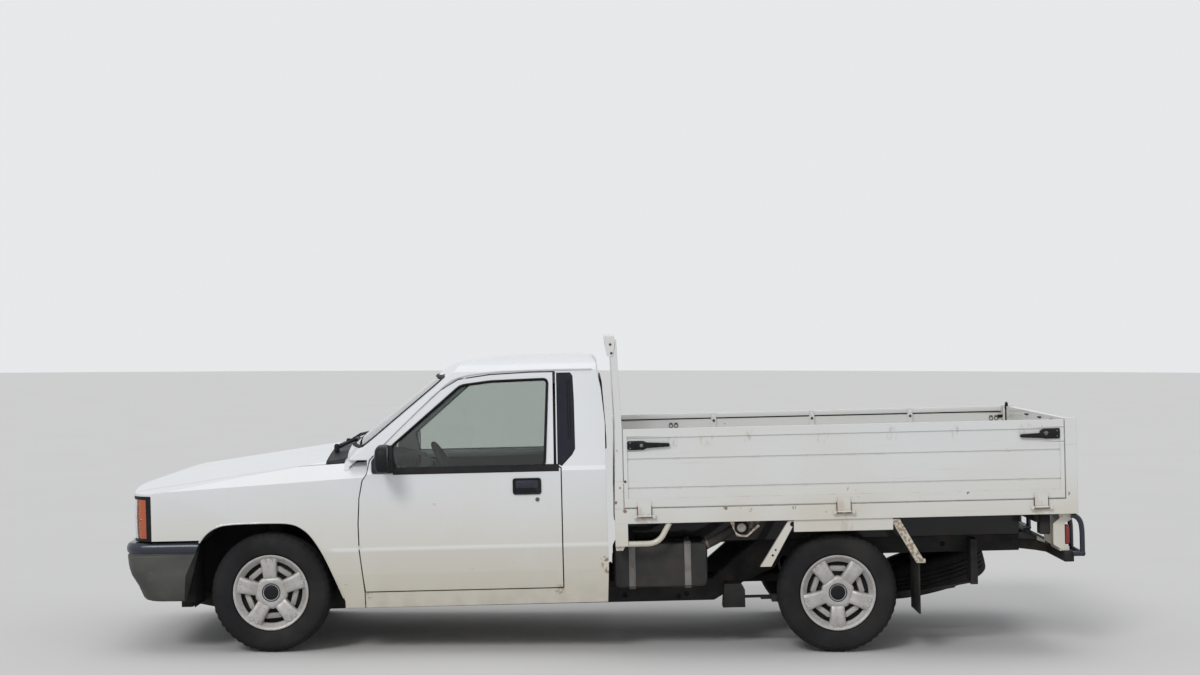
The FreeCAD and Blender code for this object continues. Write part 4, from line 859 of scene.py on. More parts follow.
def lamps(sign, side):
    """Lenses, frames, bowl and bulbs of one side, led along the nose's plan line."""
    amber = [(-624, -797)] + [p for p in corner_path(-801, -749) if p[0] < -630]
    wrap(amber, lens_rows(609, 812, 3, 5)).on(sign, "corner_lens", "lens_amber", replaces=["corner_lamps"])
    clear = corner_path(-747, -440)
    wrap(clear, lens_rows(606, 812, 5, 5)).on(sign, "head_lens", "lens_clear", replaces=["headlamps"])
    whole = [(-601, -803)] + corner_path(-801, -436)
    frames = {"low": ((-34, 592), (-34, 604), (1, 608), (3, 604), (3, 595), (0, 592)),
        "high": ((-34, 811), (-34, 828), (0, 829), (3, 826), (3, 814), (1, 811))}
    for part, rows in frames.items():
        wrap(whole, rows).on(sign, "lamp_frame_" + part, "black_plastic", bevel=1.5)
    post = [(-627, -796.5), (-612, -801), (-600, -803.2)]
    wrap(post, ((-40, 594), (-40, 826), (0, 827), (2.5, 824), (2.5, 596), (0, 593))).on(sign, "lamp_post",
        "black_plastic", bevel=2)
    back = [(x + 46, y + 14) for x, y in [(-640, -790)] + corner_path(-790, -438)]
    wrap(back, ((0, 606), (0, 812), (-3, 812), (-3, 606))).on(sign, "lamp_back", "lamp_grey")
    bowl = [(24, -636), (44, -650), (62, -668), (78, -688), (84, -694), (88, -694), (84, -684), (66, -660),
        (46, -642), (26, -630)]
    Form().lathe(bowl, HEADLAMP, "x", 40, closed=True).on(sign, "lamp_bowl", "reflector")
    bulb = Form().lathe([(0, -684), (6, -682), (9, -674), (9, -650), (16, -646), (22, -638), (0, -634)],
        HEADLAMP, "x", 20)
    bulb.on(sign, "lamp_bulb", "lens_clear")
    amber_bulb = Form().lathe([(0, -672), (7, -668), (10, -658), (9, -646), (12, -640), (0, -636)],
        (0, -770, 708), "x", 16)
    amber_bulb.on(sign, "turn_bulb", "lens_amber")


sided(lamps)


# Wheel openings

ARCH = [(-400, 470), (-400, 560), (-352, 584), (-311, 633), (-251, 666), (-171, 677), (27, 679), (126, 672),
    (185, 646), (234, 600), (291, 510), (348, 379), (388, 276)]


def arch_lip(sign, side):
    """The rolled edge of the wheel opening."""
    line = smooth_path([(x, -side_y(z) + 2, z) for x, z in ARCH[2:]], 4)
    Form().tube(line, 5, 8, flat=0.8).on(sign, "arch_lip", "paint")


sided(arch_lip)

# Doors: seals, mirror, handle, lock, card

WINDOW = [(660, 940), (1446, 940), (1467, 1386), (1170, 1380), (1012, 1362), (644, 1050)]
MIRROR = [(-1008, 934), (-1022, 1000), (-1004, 1068), (-870, 1078), (-852, 1000), (-858, 938)]


def mirror_ring(x, grow):
    middle = Vector((-937, 1005))
    return [(x, *(middle + (Vector(p) - middle) * grow)) for p in rounded(MIRROR, 34, 6)]


def door_trims(sign, side):
    """Seals, mirror, handle and lock on a door's outside."""
    body = side + "_door"
    ring = rounded(WINDOW, 26, 5)
    path = [(x, -side_y(z) - 1, z) for x, z in ring]
    Form().tube(path, 9, 8, closed=True, flat=0.7).on(sign, "window_seal", "seal", body)
    strip = [[(x, -side_y(z) - out, z) for z, out in ((912, 1), (916, 6), (930, 10), (944, 8), (948, 1))]
        for x in range(660, 1521, 86)]
    Form().loft(strip).on(sign, "belt_strip", "seal", body)
    plate = rounded([(545, 985), (548, 922), (664, 922), (655, 1066), (603, 1052)], 12, 4)
    rings = [[(x, -side_y(z) - 1, z) for x, z in plate], [(x, -side_y(z) - 12, z) for x, z in plate]]
    Form().loft(rings).on(sign, "mirror_plate", "black_plastic", body, bevel=3)
    head = [mirror_ring(x, g) for x, g in ((584, 0.5), (587, 0.74), (594, 0.90), (604, 0.98), (618, 1.0),
        (638, 1.0), (650, 0.97), (650, 0.90), (644, 0.88))]
    Form().loft(head).on(sign, "mirror_head", "black_plastic", body, sharp=50, replaces=["mirror_" + side])
    Form().loft([mirror_ring(644.5, 0.87), mirror_ring(646, 0.87)]).on(sign, "mirror_glass", "mirror", body)
    line = smooth_path([(606, -775, 962), (606, -812, 960), (608, -845, 966), (610, -872, 975)])
    arm = Form().tube(line, [20 - 5 * k / (len(line) - 1) for k in range(len(line))], 14, flat=0.7)
    arm.on(sign, "mirror_arm", "black_plastic", body)
    handle = Form()
    outer, inner = (rounded(rect(1279 + c, 1427 - c, 795 + c, 880 - c), 16 - c, 5) for c in (0, 9))
    rows = ((outer, -2), (outer, 7), (inner, 7), (inner, -9))
    handle.loft([[(x, -side_y(z) - out, z) for x, z in ring] for ring, out in rows])
    well = rounded(rect(1286, 1420, 802, 873), 10, 5)
    handle.loft([[(x, -side_y(z) - out, z) for x, z in well] for out in (-6, 2)])
    handle.on(sign, "handle", "black_plastic", body, bevel=1.5, replaces=["door_handle_" + side])
    flap = Form()
    shape = rounded(rect(1294, 1412, 828, 868), 8, 4)
    flap.loft([[(x, -side_y(z) - out, z) for x, z in shape] for out in (-8, 1.5, 3.5)])
    flap.on(sign, "handle_flap", "gloss_dark", body, bevel=2)
    y = -side_y(768)
    lock = Form().lathe([(0, y - 4), (5, y - 4), (6, y - 5), (9, y - 5), (11, y - 3), (11, y + 2)],
        (1406, 0, 768), "y", 20)
    lock.box(1404.8, 1407.2, y - 4.6, y - 3, 763, 773)
    lock.on(sign, "lock", "steel", body)


sided(door_trims)


def door_card(sign, side):
    """Inner panel with a shallow pocket, armrest, winder and pull handle."""
    body = side + "_door"
    rows = []
    for z in (352, 372, 420, 500, 580, 660, 740, 820, 880, 905, 912):
        row = []
        for k in range(15):
            x = 568 + (1496 - 568) * k / 14
            dish = 5 if 420 < z < 560 and 640 < x < 1420 else 0
            edge = 0 if 0 < k < 14 and 352 < z < 912 else 4
            row.append((x, -side_y(z) + 55 + 8 - edge - dish, z))
        rows.append(row)
    Form().sheet(rows, -4).on(sign, "door_card", "interior", body, sharp=50)
    rest = smooth_path([(900, -752, 652), (930, -728, 668), (1060, -716, 676), (1280, -714, 676),
        (1400, -726, 668), (1430, -750, 652)])
    Form().tube(rest, 22, 12, flat=0.8).on(sign, "armrest", "interior", body)
    winder = Form().lathe([(0, -722), (16, -724), (20, -730), (20, -752), (0, -752)], (800, 0, 620), "y", 24)
    winder.tube([(800, -724, 620), (840, -716, 600), (868, -712, 588)], [9, 8, 7], 10, flat=0.6)
    winder.lathe([(0, -690), (9, -692), (11, -700), (10, -712), (0, -712)], (868, 0, 588), "y", 16)
    winder.on(sign, "winder", "black_plastic", body)
    pull = Form().tube(smooth_path([(700, -744, 786), (712, -728, 790), (770, -724, 790),
        (784, -744, 786)]), 8, 10)
    pull.on(sign, "door_pull", "black_plastic", body)


sided(door_card)

# Windshield and rear window seals, gutter, wipers, panel slots

SCREEN_EDGE = rounded([(705, 1052), (596, 1408), (-596, 1408), (-705, 1052)], 60, 6)


def closed_line(corners, step=60):
    line = []
    for a, b in zip(corners, corners[1:] + corners[:1]):
        count = max(1, int((Vector(b) - Vector(a)).length / step))
        line += [Vector(a).lerp(Vector(b), k / count) for k in range(count)]
    return line


def rear_x(z):
    return 1764 if z < 1153 else 1764 - (z - 1153) * 17 / 175 if z < 1328 else 1747 - (z - 1328) * 23 / 113


Form().tube([screen_point(y, z, -1) for y, z in closed_line(SCREEN_EDGE)], 12, 8, closed=True,
    flat=0.55).piece("screen_seal", "seal")
REAR_EDGE = rounded([(600, 1010), (556, 1380), (-556, 1380), (-600, 1010)], 60, 6)
Form().tube([(rear_x(z) - 3, y, z) for y, z in REAR_EDGE], 11, 8, closed=True,
    flat=0.6).piece("rear_window_seal", "seal")


def cab_trims(sign, side):
    """Gutter, slats of the quarter panel and the screen pillar's clips."""
    line = [(560, 1010), (612, 1072), (760, 1214), (912, 1352), (1004, 1406), (1168, 1428), (1372, 1434),
        (1700, 1434)]
    path = smooth_path([(x, -side_y(z) - 3, z) for x, z in line], 5)
    Form().tube(path, 6, 8, flat=0.8).on(sign, "gutter", "paint")
    slot = Form()
    for x in (1572, 1584):
        slot.loft([[(x + u - (z - 1080) * 0.01, -side_y(z) - v, z)
            for u, v in ((-3, -1), (-2, 2.5), (2, 2.5), (3, -1))]
            for z in (1078, 1084, 1200, 1300, 1372, 1378)])
    slot.on(sign, "quarter_slats", "seal")
    marks = Form()
    for x0, z0, x1, z1 in ((588, 1036, 626, 1076), (706, 1152, 748, 1192), (832, 1268, 844, 1280)):
        marks.tube([(x0, -side_y(z0) + 10, z0), (x1, -side_y(z1) + 10, z1)], 7, 8, flat=0.5)
    marks.on(sign, "pillar_clips", "seal")


sided(cab_trims)


def wiper(y, tip):
    """Arm from a pivot in the cowl, and its blade low on the screen."""
    base = Vector((330, y, 1040))
    foot = screen_point(y, 1062, 22)
    end = screen_point(tip, 1075, 16)
    path = [base + Vector((0, 0, -20)), base, foot + (end - foot) * 0.12, foot + (end - foot) * 0.5]
    arm = Form().tube(path, [12, 10, 7, 5], 8)
    arm.lathe([(0, 1062), (9, 1060), (14, 1052), (15, 1020), (0, 1018)], (330, y, 0), "z", 16)
    arm.piece("wiper_arm_%d" % abs(y), "black_plastic")
    a, b = screen_point(tip - (tip - y) * 0.95, 1068, 10), screen_point(tip + (tip - y) * 0.12, 1080, 10)
    Form().tube([a, a.lerp(b, 0.5) + INWARD * -4, b], 6, 6, flat=0.6).piece("wiper_blade_%d" % abs(y),
        "seal")


wiper(-470, -40)
wiper(60, 500)


# Tray: latches, straps, bolts, hooks, floor ribs

def bolt(form, place_at, axis, radius=8, height=5, sides=6):
    """A hexagon head on a washer, standing on its seat along an axis."""
    sign = -1 if height < 0 else 1
    return form.lathe([(0, 0), (radius * 1.5, 0), (radius * 1.5, 1.5 * sign), (radius, 1.6 * sign),
        (radius, height - sign), (radius * 0.75, height), (0, height)], place_at, axis, sides)


LATCHES = (((1878, 1984), 2096, (1014, 1061), (1029, 1047)),
    ((4109, 4006), 3904, (1023, 1077), (1033, 1049)))


def latches(sign, side):
    """Over-centre latches near both ends of a dropside: case, lever and bolts."""
    cases, bolts = Form(), Form()
    for (x0, x1), tip, (z0, z1), (t0, t1) in LATCHES:
        way = 1 if x1 > x0 else -1
        middle, knob = (z0 + z1) / 2, (t0 + t1) / 2
        case = rounded([(x0, z0), (x1 - 24 * way, z0), (x1, z0 + 12), (x1, z1 - 12), (x1 - 24 * way, z1),
            (x0, z1)], 7, 4)
        lever = rounded([(x0 + 46 * way, t0 - 9), (x1 + 4 * way, t0 - 5), (tip, t0), (tip, t1),
            (x1 + 4 * way, t1 + 5), (x0 + 46 * way, t1 + 9)], 9, 4)
        for shape, centre, rows in ((case, middle, ((-844.3, 1.0), (-852, 1.0), (-856, 0.9), (-858, 0.72))),
                (lever, knob, ((-850, 1), (-860, 1), (-862, 0.8)))):
            cases.loft([[(x, y, centre + (z - centre) * g) for x, z in shape] for y, g in rows])
        bolt(bolts, (x0 + 72 * way, -860, middle), "y", 9, -4, 20)
        for z in (middle + 14, middle - 14):
            bolt(bolts, (x0 + 14 * way, -856, z), "y", 4, -3)
    body = side + "_dropside"
    cases.on(sign, "latch_cases", "black_plastic", body, bevel=1, replaces=["latches_" + side])
    bolts.on(sign, "latch_bolts", "steel", body)


def hinges(sign, side):
    """Pins, dark strips down the hinge straps' edges as painted shadows, and the straps' bolts."""
    pins_and_shadow_strips, bolts = Form(), Form()
    for x in STRAPS:
        pins_and_shadow_strips.tube([(x - 3, -862, 669), (x + 73, -862, 669)], 6, 10)
        # Painted shadow: thin dark strips down both edges of each strap.
        for u in (-1.5, 71.5):
            pins_and_shadow_strips.prism([(x + u - 1.5, 672), (x + u - 1.5, 722), (x + u + 1.5, 722), (x + u + 1.5, 672)],
                "y", -849, -857.4)
        for u in (17, 53):
            bolt(bolts, (x + u, -844.5, 736), "y", 5, -3)
            bolt(bolts, (x + u, -857, 680), "y", 4, -3)
    pins_and_shadow_strips.on(sign, "hinge_pins_and_shadow_strips", "rusty_steel", side + "_dropside")
    bolts.on(sign, "strap_bolts", "tray_paint", side + "_dropside")


def dropside_inner(sign, side):
    """Rope rings, the folded rim between the ribs with a black strip under it as its painted shadow, and the
    ribs' bolts, on the inner face.
    """
    body = side + "_dropside"
    rings = Form()
    for x in (4068, 4098, 2160, 2190):
        rings.tube([(x + 11 * math.cos(a), -818, 1050 + 11 * math.sin(a)) for a in turns(16)], 2.5, 8,
            closed=True)
        rings.carry(rect(-9, 9, -5, 5), "y", [(x, -820.2, 1062), (x, -815, 1062)])
    rings.on(sign, "rope_rings", "rusty", body, bevel=0.8)
    lip, rim_shadow_strip = Form(), Form()
    for x0, x1 in ((1862, 2399), (2431, 2984), (3016, 3569), (3601, 4128)):
        lip.box(x0, x1, -820, -811, 1093, 1120.5)
        # Painted shadow: a black strip under the rim.
        rim_shadow_strip.box(x0, x1, -820, -818.6, 1086, 1093)
    lip.on(sign, "inner_lip", "tray_paint", body, bevel=1.5)
    rim_shadow_strip.on(sign, "lip_shadow_strip", "seal", body)
    bolts = Form()
    for x in RIBS:
        for z in (1075, 760):
            bolt(bolts, (x, -807.7, z), "y", 6, 4)
    bolts.on(sign, "rib_bolts", "rusty", body)


def tray_side(sign, side):
    """Curved side tube, the front post's foot and bolts, and the faces of the mudguard's struts."""
    line = [(1871.4, -830, 527), (1930, -830, 527), (1985, -830, 528), (2020, -830, 539), (2045, -830, 560),
        (2064, -830, 592), (2086, -830, 632)]
    Form().tube(smooth_path(line, 5), 14.7, 16).on(sign, "side_tube", "rail_cream", replaces=["side_tubes"])
    foot = Form().prism([(1808, 494), (1843, 494), (1855, 516.7), (1806, 516.7)], "y", -836, -828)
    bolt(foot, (1826, -836, 505), "y", 6, -4).on(sign, "post_foot", "rail_cream", bevel=1)
    dots = Form()
    for x, z, y in ((1801, 1562, -854), (1806, 1517, -854), (1862, 852, -850)):
        dots.lathe([(0, y - 1), (4, y - 2.5), (6.5, y - 2), (7, y), (0, y)], (x, 0, z), "y", 14)
    dots.on(sign, "post_bolts", "rusty")
    # Painted shade: dark discs on the strut stand for its holes.
    hole_shades = Form()
    for x, z, r in ((2722, 611, 13), (2632, 480, 5), (2616, 452, 6)):
        hole_shades.lathe([(0, -838), (r * 0.6, -838), (r * 0.8, -839), (r, -836.2), (0, -836)], (x, 0, z), "y",
            18)
    hole_shades.on(sign, "strut_hole_shades", "seal")
    strut = Form().prism([(3229, 626), (3276, 626), (3405, 395), (3360, 395)], "y", -838.5, -836)
    strut.on(sign, "strut_face", "strut_rust", bevel=1)


for build in (latches, hinges, dropside_inner, tray_side):
    sided(build)


def tailgate_trims():
    """Hooks, bolts, the corner post's rubber strap and the catch lever."""
    hooks = Form()
    for y in (185, -160, -460):
        hooks.tube(smooth_path([(4154.8, y - 24, 1100), (4146, y - 20, 1100), (4145, y, 1101),
            (4146, y + 20, 1100), (4154.8, y + 24, 1100)], 4), 4.5, 8)
    hooks.piece("gate_hooks", "black_plastic", "rear_gate")
    bolts = Form()
    for y in (-595, 525):
        for u in (18, 52):
            bolt(bolts, (4199.5, y + u, 732), "x", 6, 4)
    bolts.piece("gate_bolts", "rusty", "rear_gate")
    strap = Form().prism(rect(4149, 4167, 797, 802), "z", 1030, 1121, 1140)
    strap.tube(smooth_path([(4158, 799.5, 1146), (4152, 796, 1118), (4160, 795, 1090), (4154, 795, 1062),
        (4158, 796, 1036)], 5), 6, 10)
    strap.piece("post_strap", "seal", bevel=1)
    lever = Form().prism(rect(806, 816, 1053, 1071), "x", 4106, 4136)
    lever.piece("catch_lever", "black_plastic", "right_dropside", bevel=2)


tailgate_trims()


def floor_ribs():
    """Pressed ribs along the load floor and the seams between its sheets."""
    form = Form()
    for k in range(17):
        y = -744 + 93 * k
        form.loft([[(x, y + u, FLOOR_TOP + v * s) for u, v in ((-11, -1), (-7, 3), (7, 3), (11, -1))]
            for x, s in ((1866, 0.1), (1884, 1), (4130, 1), (4146, 0.1))])
    for x in (2610, 3420):
        form.carry([(-13, -1), (-12, 1.5), (12, 1.5), (13, -1)], "y",
            [(x, y, FLOOR_TOP) for y in (-812, 812)])
    form.piece("floor_ribs", "tray_paint")


floor_ribs()


# Chassis rails and the rear: beam, arms, round lamp guards, lamps

def chassis_rail(sign, side):
    """Box rail with a tapered nose and a kick up over the rear axle."""
    outline = [(-560, 246), (-330, 196), (-120, 174), (2330, 174), (2491, 269), (2658, 340), (2700, 403),
        (3971, 403), (3971, 491), (2560, 491), (2315, 286), (-560, 286)]
    Form().prism(outline, "y", -430, -370).on(sign, "rail_shell", "chassis", bevel=5,
        replaces=["rail_" + side])
    # Painted shade: dark discs on the rail stand for its holes.
    hole_shades = Form()
    for x, z in ((1853, 211), (2140, 199), (2183, 211), (420, 230), (980, 230), (3160, 447), (3560, 447)):
        hole_shades.lathe([(0, -430.4), (11, -430.4), (13, -430.8), (14, -430)], (x, 0, z), "y", 18)
    hole_shades.on(sign, "rail_hole_shades", "seal")


sided(chassis_rail)


def rear():
    """Cross beams under the tray's end and the boxes of the lamps."""
    Form().box(3985, 4045, -790, 790, 588, BED_LOW).piece("rear_bearer", "chassis", bevel=3)
    Form().box(4008, 4062, -800, -716, 524, BED_LOW).mirror().piece("lamp_boxes", "mud_rubber", bevel=7,
        segments=3)
    beam = Form().box(4130, 4180, -810, 810, 380, 435)
    for y in (-400, 400):
        beam.loft([[(x, y + u, z) for u, z in ((-20, z0), (20, z0), (20, z1), (-20, z1))]
            for x, z0, z1 in ((3971.3, 412, 488), (4060, 400, 462), (4132, 386, 434))])
    beam.piece("rear_beam", "chassis", bevel=4, replaces=["rear_bar"])


def tail(sign, side):
    """Round guard, bracket, case and lenses of a tail lamp."""
    guard = Form()
    for y in (-812, -546):
        guard.tube(smooth_path([(4168, y, 621), (4188, y, 617), (4206, y, 602), (4217, y, 580),
            (4222, y, 545), (4223, y, 500), (4223, y, 440), (4223, y, 423)], 5), 13.6, 14)
        guard.tube([(4172, y, 422), (4200, y, 422), (4223, y, 422)], 13.6, 14)
    guard.tube([(4223, -822, 422), (4223, -700, 422), (4223, -536, 422)], 13.6, 14)
    guard.on(sign, "lamp_guard", "gloss_dark")
    arm = Form().prism([(3908, 470), (3908, 484), (3985, 500), (4004, 520), (4028, 522), (4046, 490),
        (4110, 452), (4110, 440), (4050, 462)], "y", -428, -420.3)
    arm.on(sign, "dusty_bracket", "rail_cream", bevel=1)
    case = Form().prism(rounded(rect(-783, -569, 467, 570), 12, 4), "x", 4137.2, 4146)
    case.on(sign, "tail_case", "black_plastic", bevel=2)
    for y0, y1, material, part in ((-783, -702, "lens_red", "outer"), (-701, -640, "lens_amber", "middle"),
            (-639, -569, "lens_clear", "inner")):
        shape = rounded(rect(y0, y1, 467, 570), 9, 4)
        middle = Vector(((y0 + y1) / 2, 518.5))
        lens_form = Form().loft([[(x, *(middle + (Vector(p) - middle) * g)) for p in shape]
            for x, g in ((4145, 0.995), (4157, 0.99), (4161.5, 0.95), (4163.5, 0.88))])
        lens_form.on(sign, "tail_lens_" + part, material, sharp=50, replaces=["tail_lamps"])


rear()
sided(tail)


# Below: tank, exhaust, springs, dampers, brakes, spare wheel

def tank():
    """Fuel tank with rounded corners and a seam, and its two straps."""
    form = Form()
    outline = rounded(rect(1790, 2290, 285, 520), 34, 6)
    centre = Vector((2040, 402))
    rings = []
    for y, grow in ((-740, 0.90), (-736, 0.95), (-724, 0.975), (-588, 0.98), (-586, 0.9999), (-580, 0.9999),
            (-578, 0.98), (-450, 0.975), (-436, 0.95), (-431, 0.90)):
        rings.append([(*(centre + (Vector(p) - centre) * grow), y) for p in outline])
    form.loft([[(x, y, z) for x, z, y in ring] for ring in rings])
    form.piece("tank_shell", "tank", sharp=30, replaces=["fuel_tank"])
    straps = Form()
    for x in (1890, 2180):
        path = [(x, y, z) for y, z in ((-436, 524), (-560, 523), (-726, 522), (-739, 508), (-741, 400),
            (-739, 298), (-724, 283), (-560, 281.5), (-436, 282))]
        straps.loft([[(p[0] + u, p[1] + v * n[0], p[2] + v * n[1])
            for u, v in ((-17, 0), (17, 0), (17, 2.5), (-17, 2.5))]
            for p, n in zip(path, ((0, 1), (0, 1), (-.4, .9), (-.9, .4), (-1, 0), (-.9, -.4), (-.4, -.9),
            (0, -1), (0, -1)))])
    straps.piece("tank_straps", "steel", bevel=0.6)


def filler():
    """Hose from the tank to the cap, which sits on a bracket under the bed's edge."""
    hose = Form().tube(smooth_path([(2262, -705, 500), (2300, -712, 512), (2360, -745, 548),
        (2420, -768, 588), (2460, -776, 602), (2460, -786, 603)], 6), 24, 16)
    hose.tube(smooth_path([(2262, -668, 506), (2320, -690, 530), (2400, -740, 590), (2440, -770, 618)], 6),
        9, 10)
    hose.piece("filler_hose", "mud_rubber")
    clamps = Form()
    for p, q in (((2282, -709, 506), (2294, -711, 510)), ((2450, -775, 600.5), (2459, -776.6, 602.5))):
        clamps.tube([p, q], 26, 20)
    clamps.piece("hose_clamps", "steel", bevel=1)
    cap = Form().lathe([(0, -818), (9, -819), (10, -822), (20, -821.5), (23, -818), (24, -811), (24, -798),
        (0, -796)], FILLER, "y", 36)
    cap.piece("filler_cap", "bright_steel", bevel=1)
    collar = Form().lathe([(25, -806), (34, -806), (38, -802), (38, -790), (25, -788)], FILLER, "y", 36,
        closed=True)
    collar.piece("filler_collar", "seal")
    plate = Form()
    for outline in ([(2398, BED_LOW), (2420, BED_LOW), (2450, 560), (2434, 552)],
            [(2434, 552), (2450, 560), (2490, 558), (2488, 546)],
            [(2488, 546), (2490, 558), (2545, 612), (2556, 602)]):
        plate.prism(outline, "y", -803, -799)
    plate.prism([(2398, BED_LOW), (2556, BED_LOW), (2556, 602), (2490, 552), (2440, 552)], "y", -791, -788)
    plate.piece("filler_plate", "strut_rust", bevel=1)


tank()
filler()


def exhaust():
    """Pipe, silencer and hooks, on the right side."""
    y = 252
    pipe = smooth_path([(80, y, 247), (200, y, 245), (900, y, 245), (1500, y, 245), (1740, y, 262),
        (1792, y, 300)], 6)
    form = Form().tube(pipe, 21, 16)
    form.lathe([(20, 1788), (60, 1790), (70, 1797), (71.5, 1806), (71.5, 2144), (70, 2153), (60, 2160),
        (20, 2162)], (0, y, 300), "x", 36)
    form.lathe([(72, 1796), (73.5, 1799), (72, 1802)], (0, y, 300), "x", 36, closed=True)
    form.tube(smooth_path([(2155, y, 300), (2200, y, 316), (2300, y, 372), (2380, y, 418), (2440, y, 430),
        (2700, y, 430), (3119, y, 430)], 6), 19, 16)
    form.piece("exhaust_line", "rusty_steel", replaces=["exhaust"])
    hangers = Form()
    for x, z in ((1560, 268), (2210, 335)):
        hangers.tube([(x, y, z), (x, y + 20, z + 60), (x, y + 60, z + 90)], 5, 8)
    hangers.piece("exhaust_hooks", "steel")


exhaust()


def leaf_line(t):
    """Upper face of the main leaf from its front eye to its rear end, in ground millimetres."""
    rows = [(2483.4, 262), (2660, 266), (2850, 271.6), (3050, 271.6), (3350, 286), (3520, 312),
        (3682.4, 342)]
    x = rows[0][0] + (rows[-1][0] - rows[0][0]) * t
    return x, rise(rows, x)


def springs(sign, side):
    """Leaves, clamps, damper and drum, in level ground millimetres."""
    form = Form()
    for index, (low, high) in enumerate(((0.0, 1.0), (0.07, 0.93), (0.17, 0.80), (0.29, 0.64))):
        line = [leaf_line(low + (high - low) * k / 24) for k in range(25)]
        drop = 9 * index
        thick = 8 if index < 3 else 9
        form.loft([[(x, y, z - drop - v) for y, v in ((-540, 0), (-480, 0), (-480, thick), (-540, thick))]
            for x, z in line])
    form.on(sign, "leaf_stack", "chassis", where=GROUND, bevel=1.5, replaces=["leaf_springs"])
    clamp = Form()
    for x in (2905, 2995):
        clamp.tube(smooth_path([(x, -532, 226), (x, -545, 240), (x, -545, 330), (x, -530, 354),
            (x, -510, 360), (x, -490, 354), (x, -475, 330), (x, -475, 240), (x, -488, 226)], 5), 6, 10)
    clamp.prism(rounded(rect(-560, -460, 222, 236), 4, 3), "x", 2872, 3028)
    for x in (2905, 2995):
        for y in (-545, -475):
            bolt(clamp, (x, y, 222), "z", 9, -12)
    for x in (2640, 3260):
        z = rise([(2483.4, 262), (2850, 271.6), (3050, 271.6), (3350, 286)], x)
        clamp.loft([[(x + u, y, w) for y, w in ((-544, z + 3), (-476, z + 3), (-476, z - 32),
            (-544, z - 32))] for u in (-14, 14)])
    clamp.on(sign, "spring_clamps", "rusty_steel", where=GROUND, bevel=1)
    low, high = Vector((3040, -452, 262)), Vector((3196, -452, 560))
    way = (high - low).normalized()
    damper = Form().tube([low + way * d for d in (0, 12, 14, 150, 152, 158)], [14, 14, 23, 23, 20, 9], 18)
    damper.tube([low + way * d for d in (150, 235)], 7, 12)
    damper.tube([low + way * d for d in (170, 172, 300, 305)], [20, 27, 27, 14], 18)
    damper.on(sign, "damper", "tank", where=GROUND)
    drum = Form()
    profile = [(40, -642), (108, -644), (116, -650), (118, -660), (113, -664), (118, -668), (113, -672),
        (118, -676), (113, -680), (118, -684), (118, -700), (60, -708), (40, -708)]
    drum.lathe(profile, (2950, 0, 312), "y", 48, closed=True)
    drum.on(sign, "brake_drum", "rusty_steel", where=GROUND, sharp=30)


sided(springs)


def front_end(sign, side):
    """Brake disc and caliper of a front wheel."""
    disc = Form().lathe([(40, -706), (118, -706), (119, -704), (119, -698), (118, -696), (40, -696)],
        (0, 0, 312), "y", 48, closed=True)
    knuckle = side + "_knuckle"
    disc.on(sign, "brake_disc", "steel", knuckle, GROUND, sharp=30)
    caliper = []
    for y in (-722, -716, -686, -680):
        grow = 0.86 if y in (-722, -680) else 1
        ring = []
        for r, a in ((84, 20), (84, 75), (123, 78), (128, 48), (123, 17)):
            a = math.radians(48 + (a - 48) * grow)
            r = 104 + (r - 104) * grow
            ring.append((r * math.cos(a), y, 312 + r * math.sin(a)))
        caliper.append(ring)
    Form().loft(caliper).on(sign, "caliper", "engine", knuckle, GROUND, bevel=3)


sided(front_end)


def spare():
    """Spare wheel under the tail: the same tyre on a plain steel wheel, tilted with its carrier."""
    form = tyre_form((0, 0, 0))
    rim = Form().lathe([(196, -66), (198, -74), (196, -79), (188, -78), (180, -66), (174, -40), (160, -20),
        (120, -8), (104, -26), (60, -32), (34, -30), (34, -22), (60, -24), (100, -16), (120, 2), (165, -8),
        (180, 40), (190, 70), (196, 72)], (0, 0, 0), "y", 72, closed=True)
    for k in range(5):
        a = math.radians(72 * k)
        bolt(rim, (57 * math.cos(a), -30, 57 * math.sin(a)), "y", 8, -8)
    lie = Matrix.Rotation(math.radians(-14), 4, "Y") @ Matrix.Rotation(math.radians(90), 4, "X")
    turn = Matrix.Translation(Vector((3548, 0, 262))) @ lie
    form.turned(turn).piece("spare_tyre", "tyre", sharp=30, replaces=["spare_wheel"])
    rim.turned(turn).piece("spare_rim", "rusty_steel", sharp=40)


spare()


# Inside the cab

def steering():
    """Wheel with three spokes, column shroud and stalks."""
    tilt = math.radians(30)
    axis = Vector((math.cos(tilt), 0, math.sin(tilt)))
    centre = Vector((925, -350, 890))
    up, side = Vector((-math.sin(tilt), 0, math.cos(tilt))), Vector((0, 1, 0))
    ring = [centre + (side * math.cos(a) + up * math.sin(a)) * 176 for a in turns(48)]
    form = Form().tube(ring, 13, 12, closed=True)
    for a in (90, 210, 330):
        a = math.radians(a)
        out = side * math.cos(a) + up * math.sin(a)
        form.tube([centre + out * 30, centre + out * 170], [20, 13], 10, flat=0.5)
    form.tube([centre - axis * 30, centre - axis * 10, centre + axis * 8, centre + axis * 12],
        [45, 55, 52, 30], 24)
    form.piece("steering_ring", "interior", "hand_wheel", replaces=["steering_wheel"])
    shroud = Form()
    rings = []
    for d, r in ((44, 30), (50, 42), (90, 48), (170, 52), (240, 50)):
        rings.append([centre - axis * d + (side * math.cos(a) * r * 1.15 + up * math.sin(a) * r)
            for a in turns(20)])
    shroud.loft(rings)
    for way in (-1, 1):
        root = centre - axis * 70 + side * 44 * way
        shroud.tube([root, root + side * 60 * way + axis * 12, root + side * 128 * way + axis * 30],
            [6, 5, 8], 10)
    shroud.piece("column_shroud", "black_plastic")


steering()


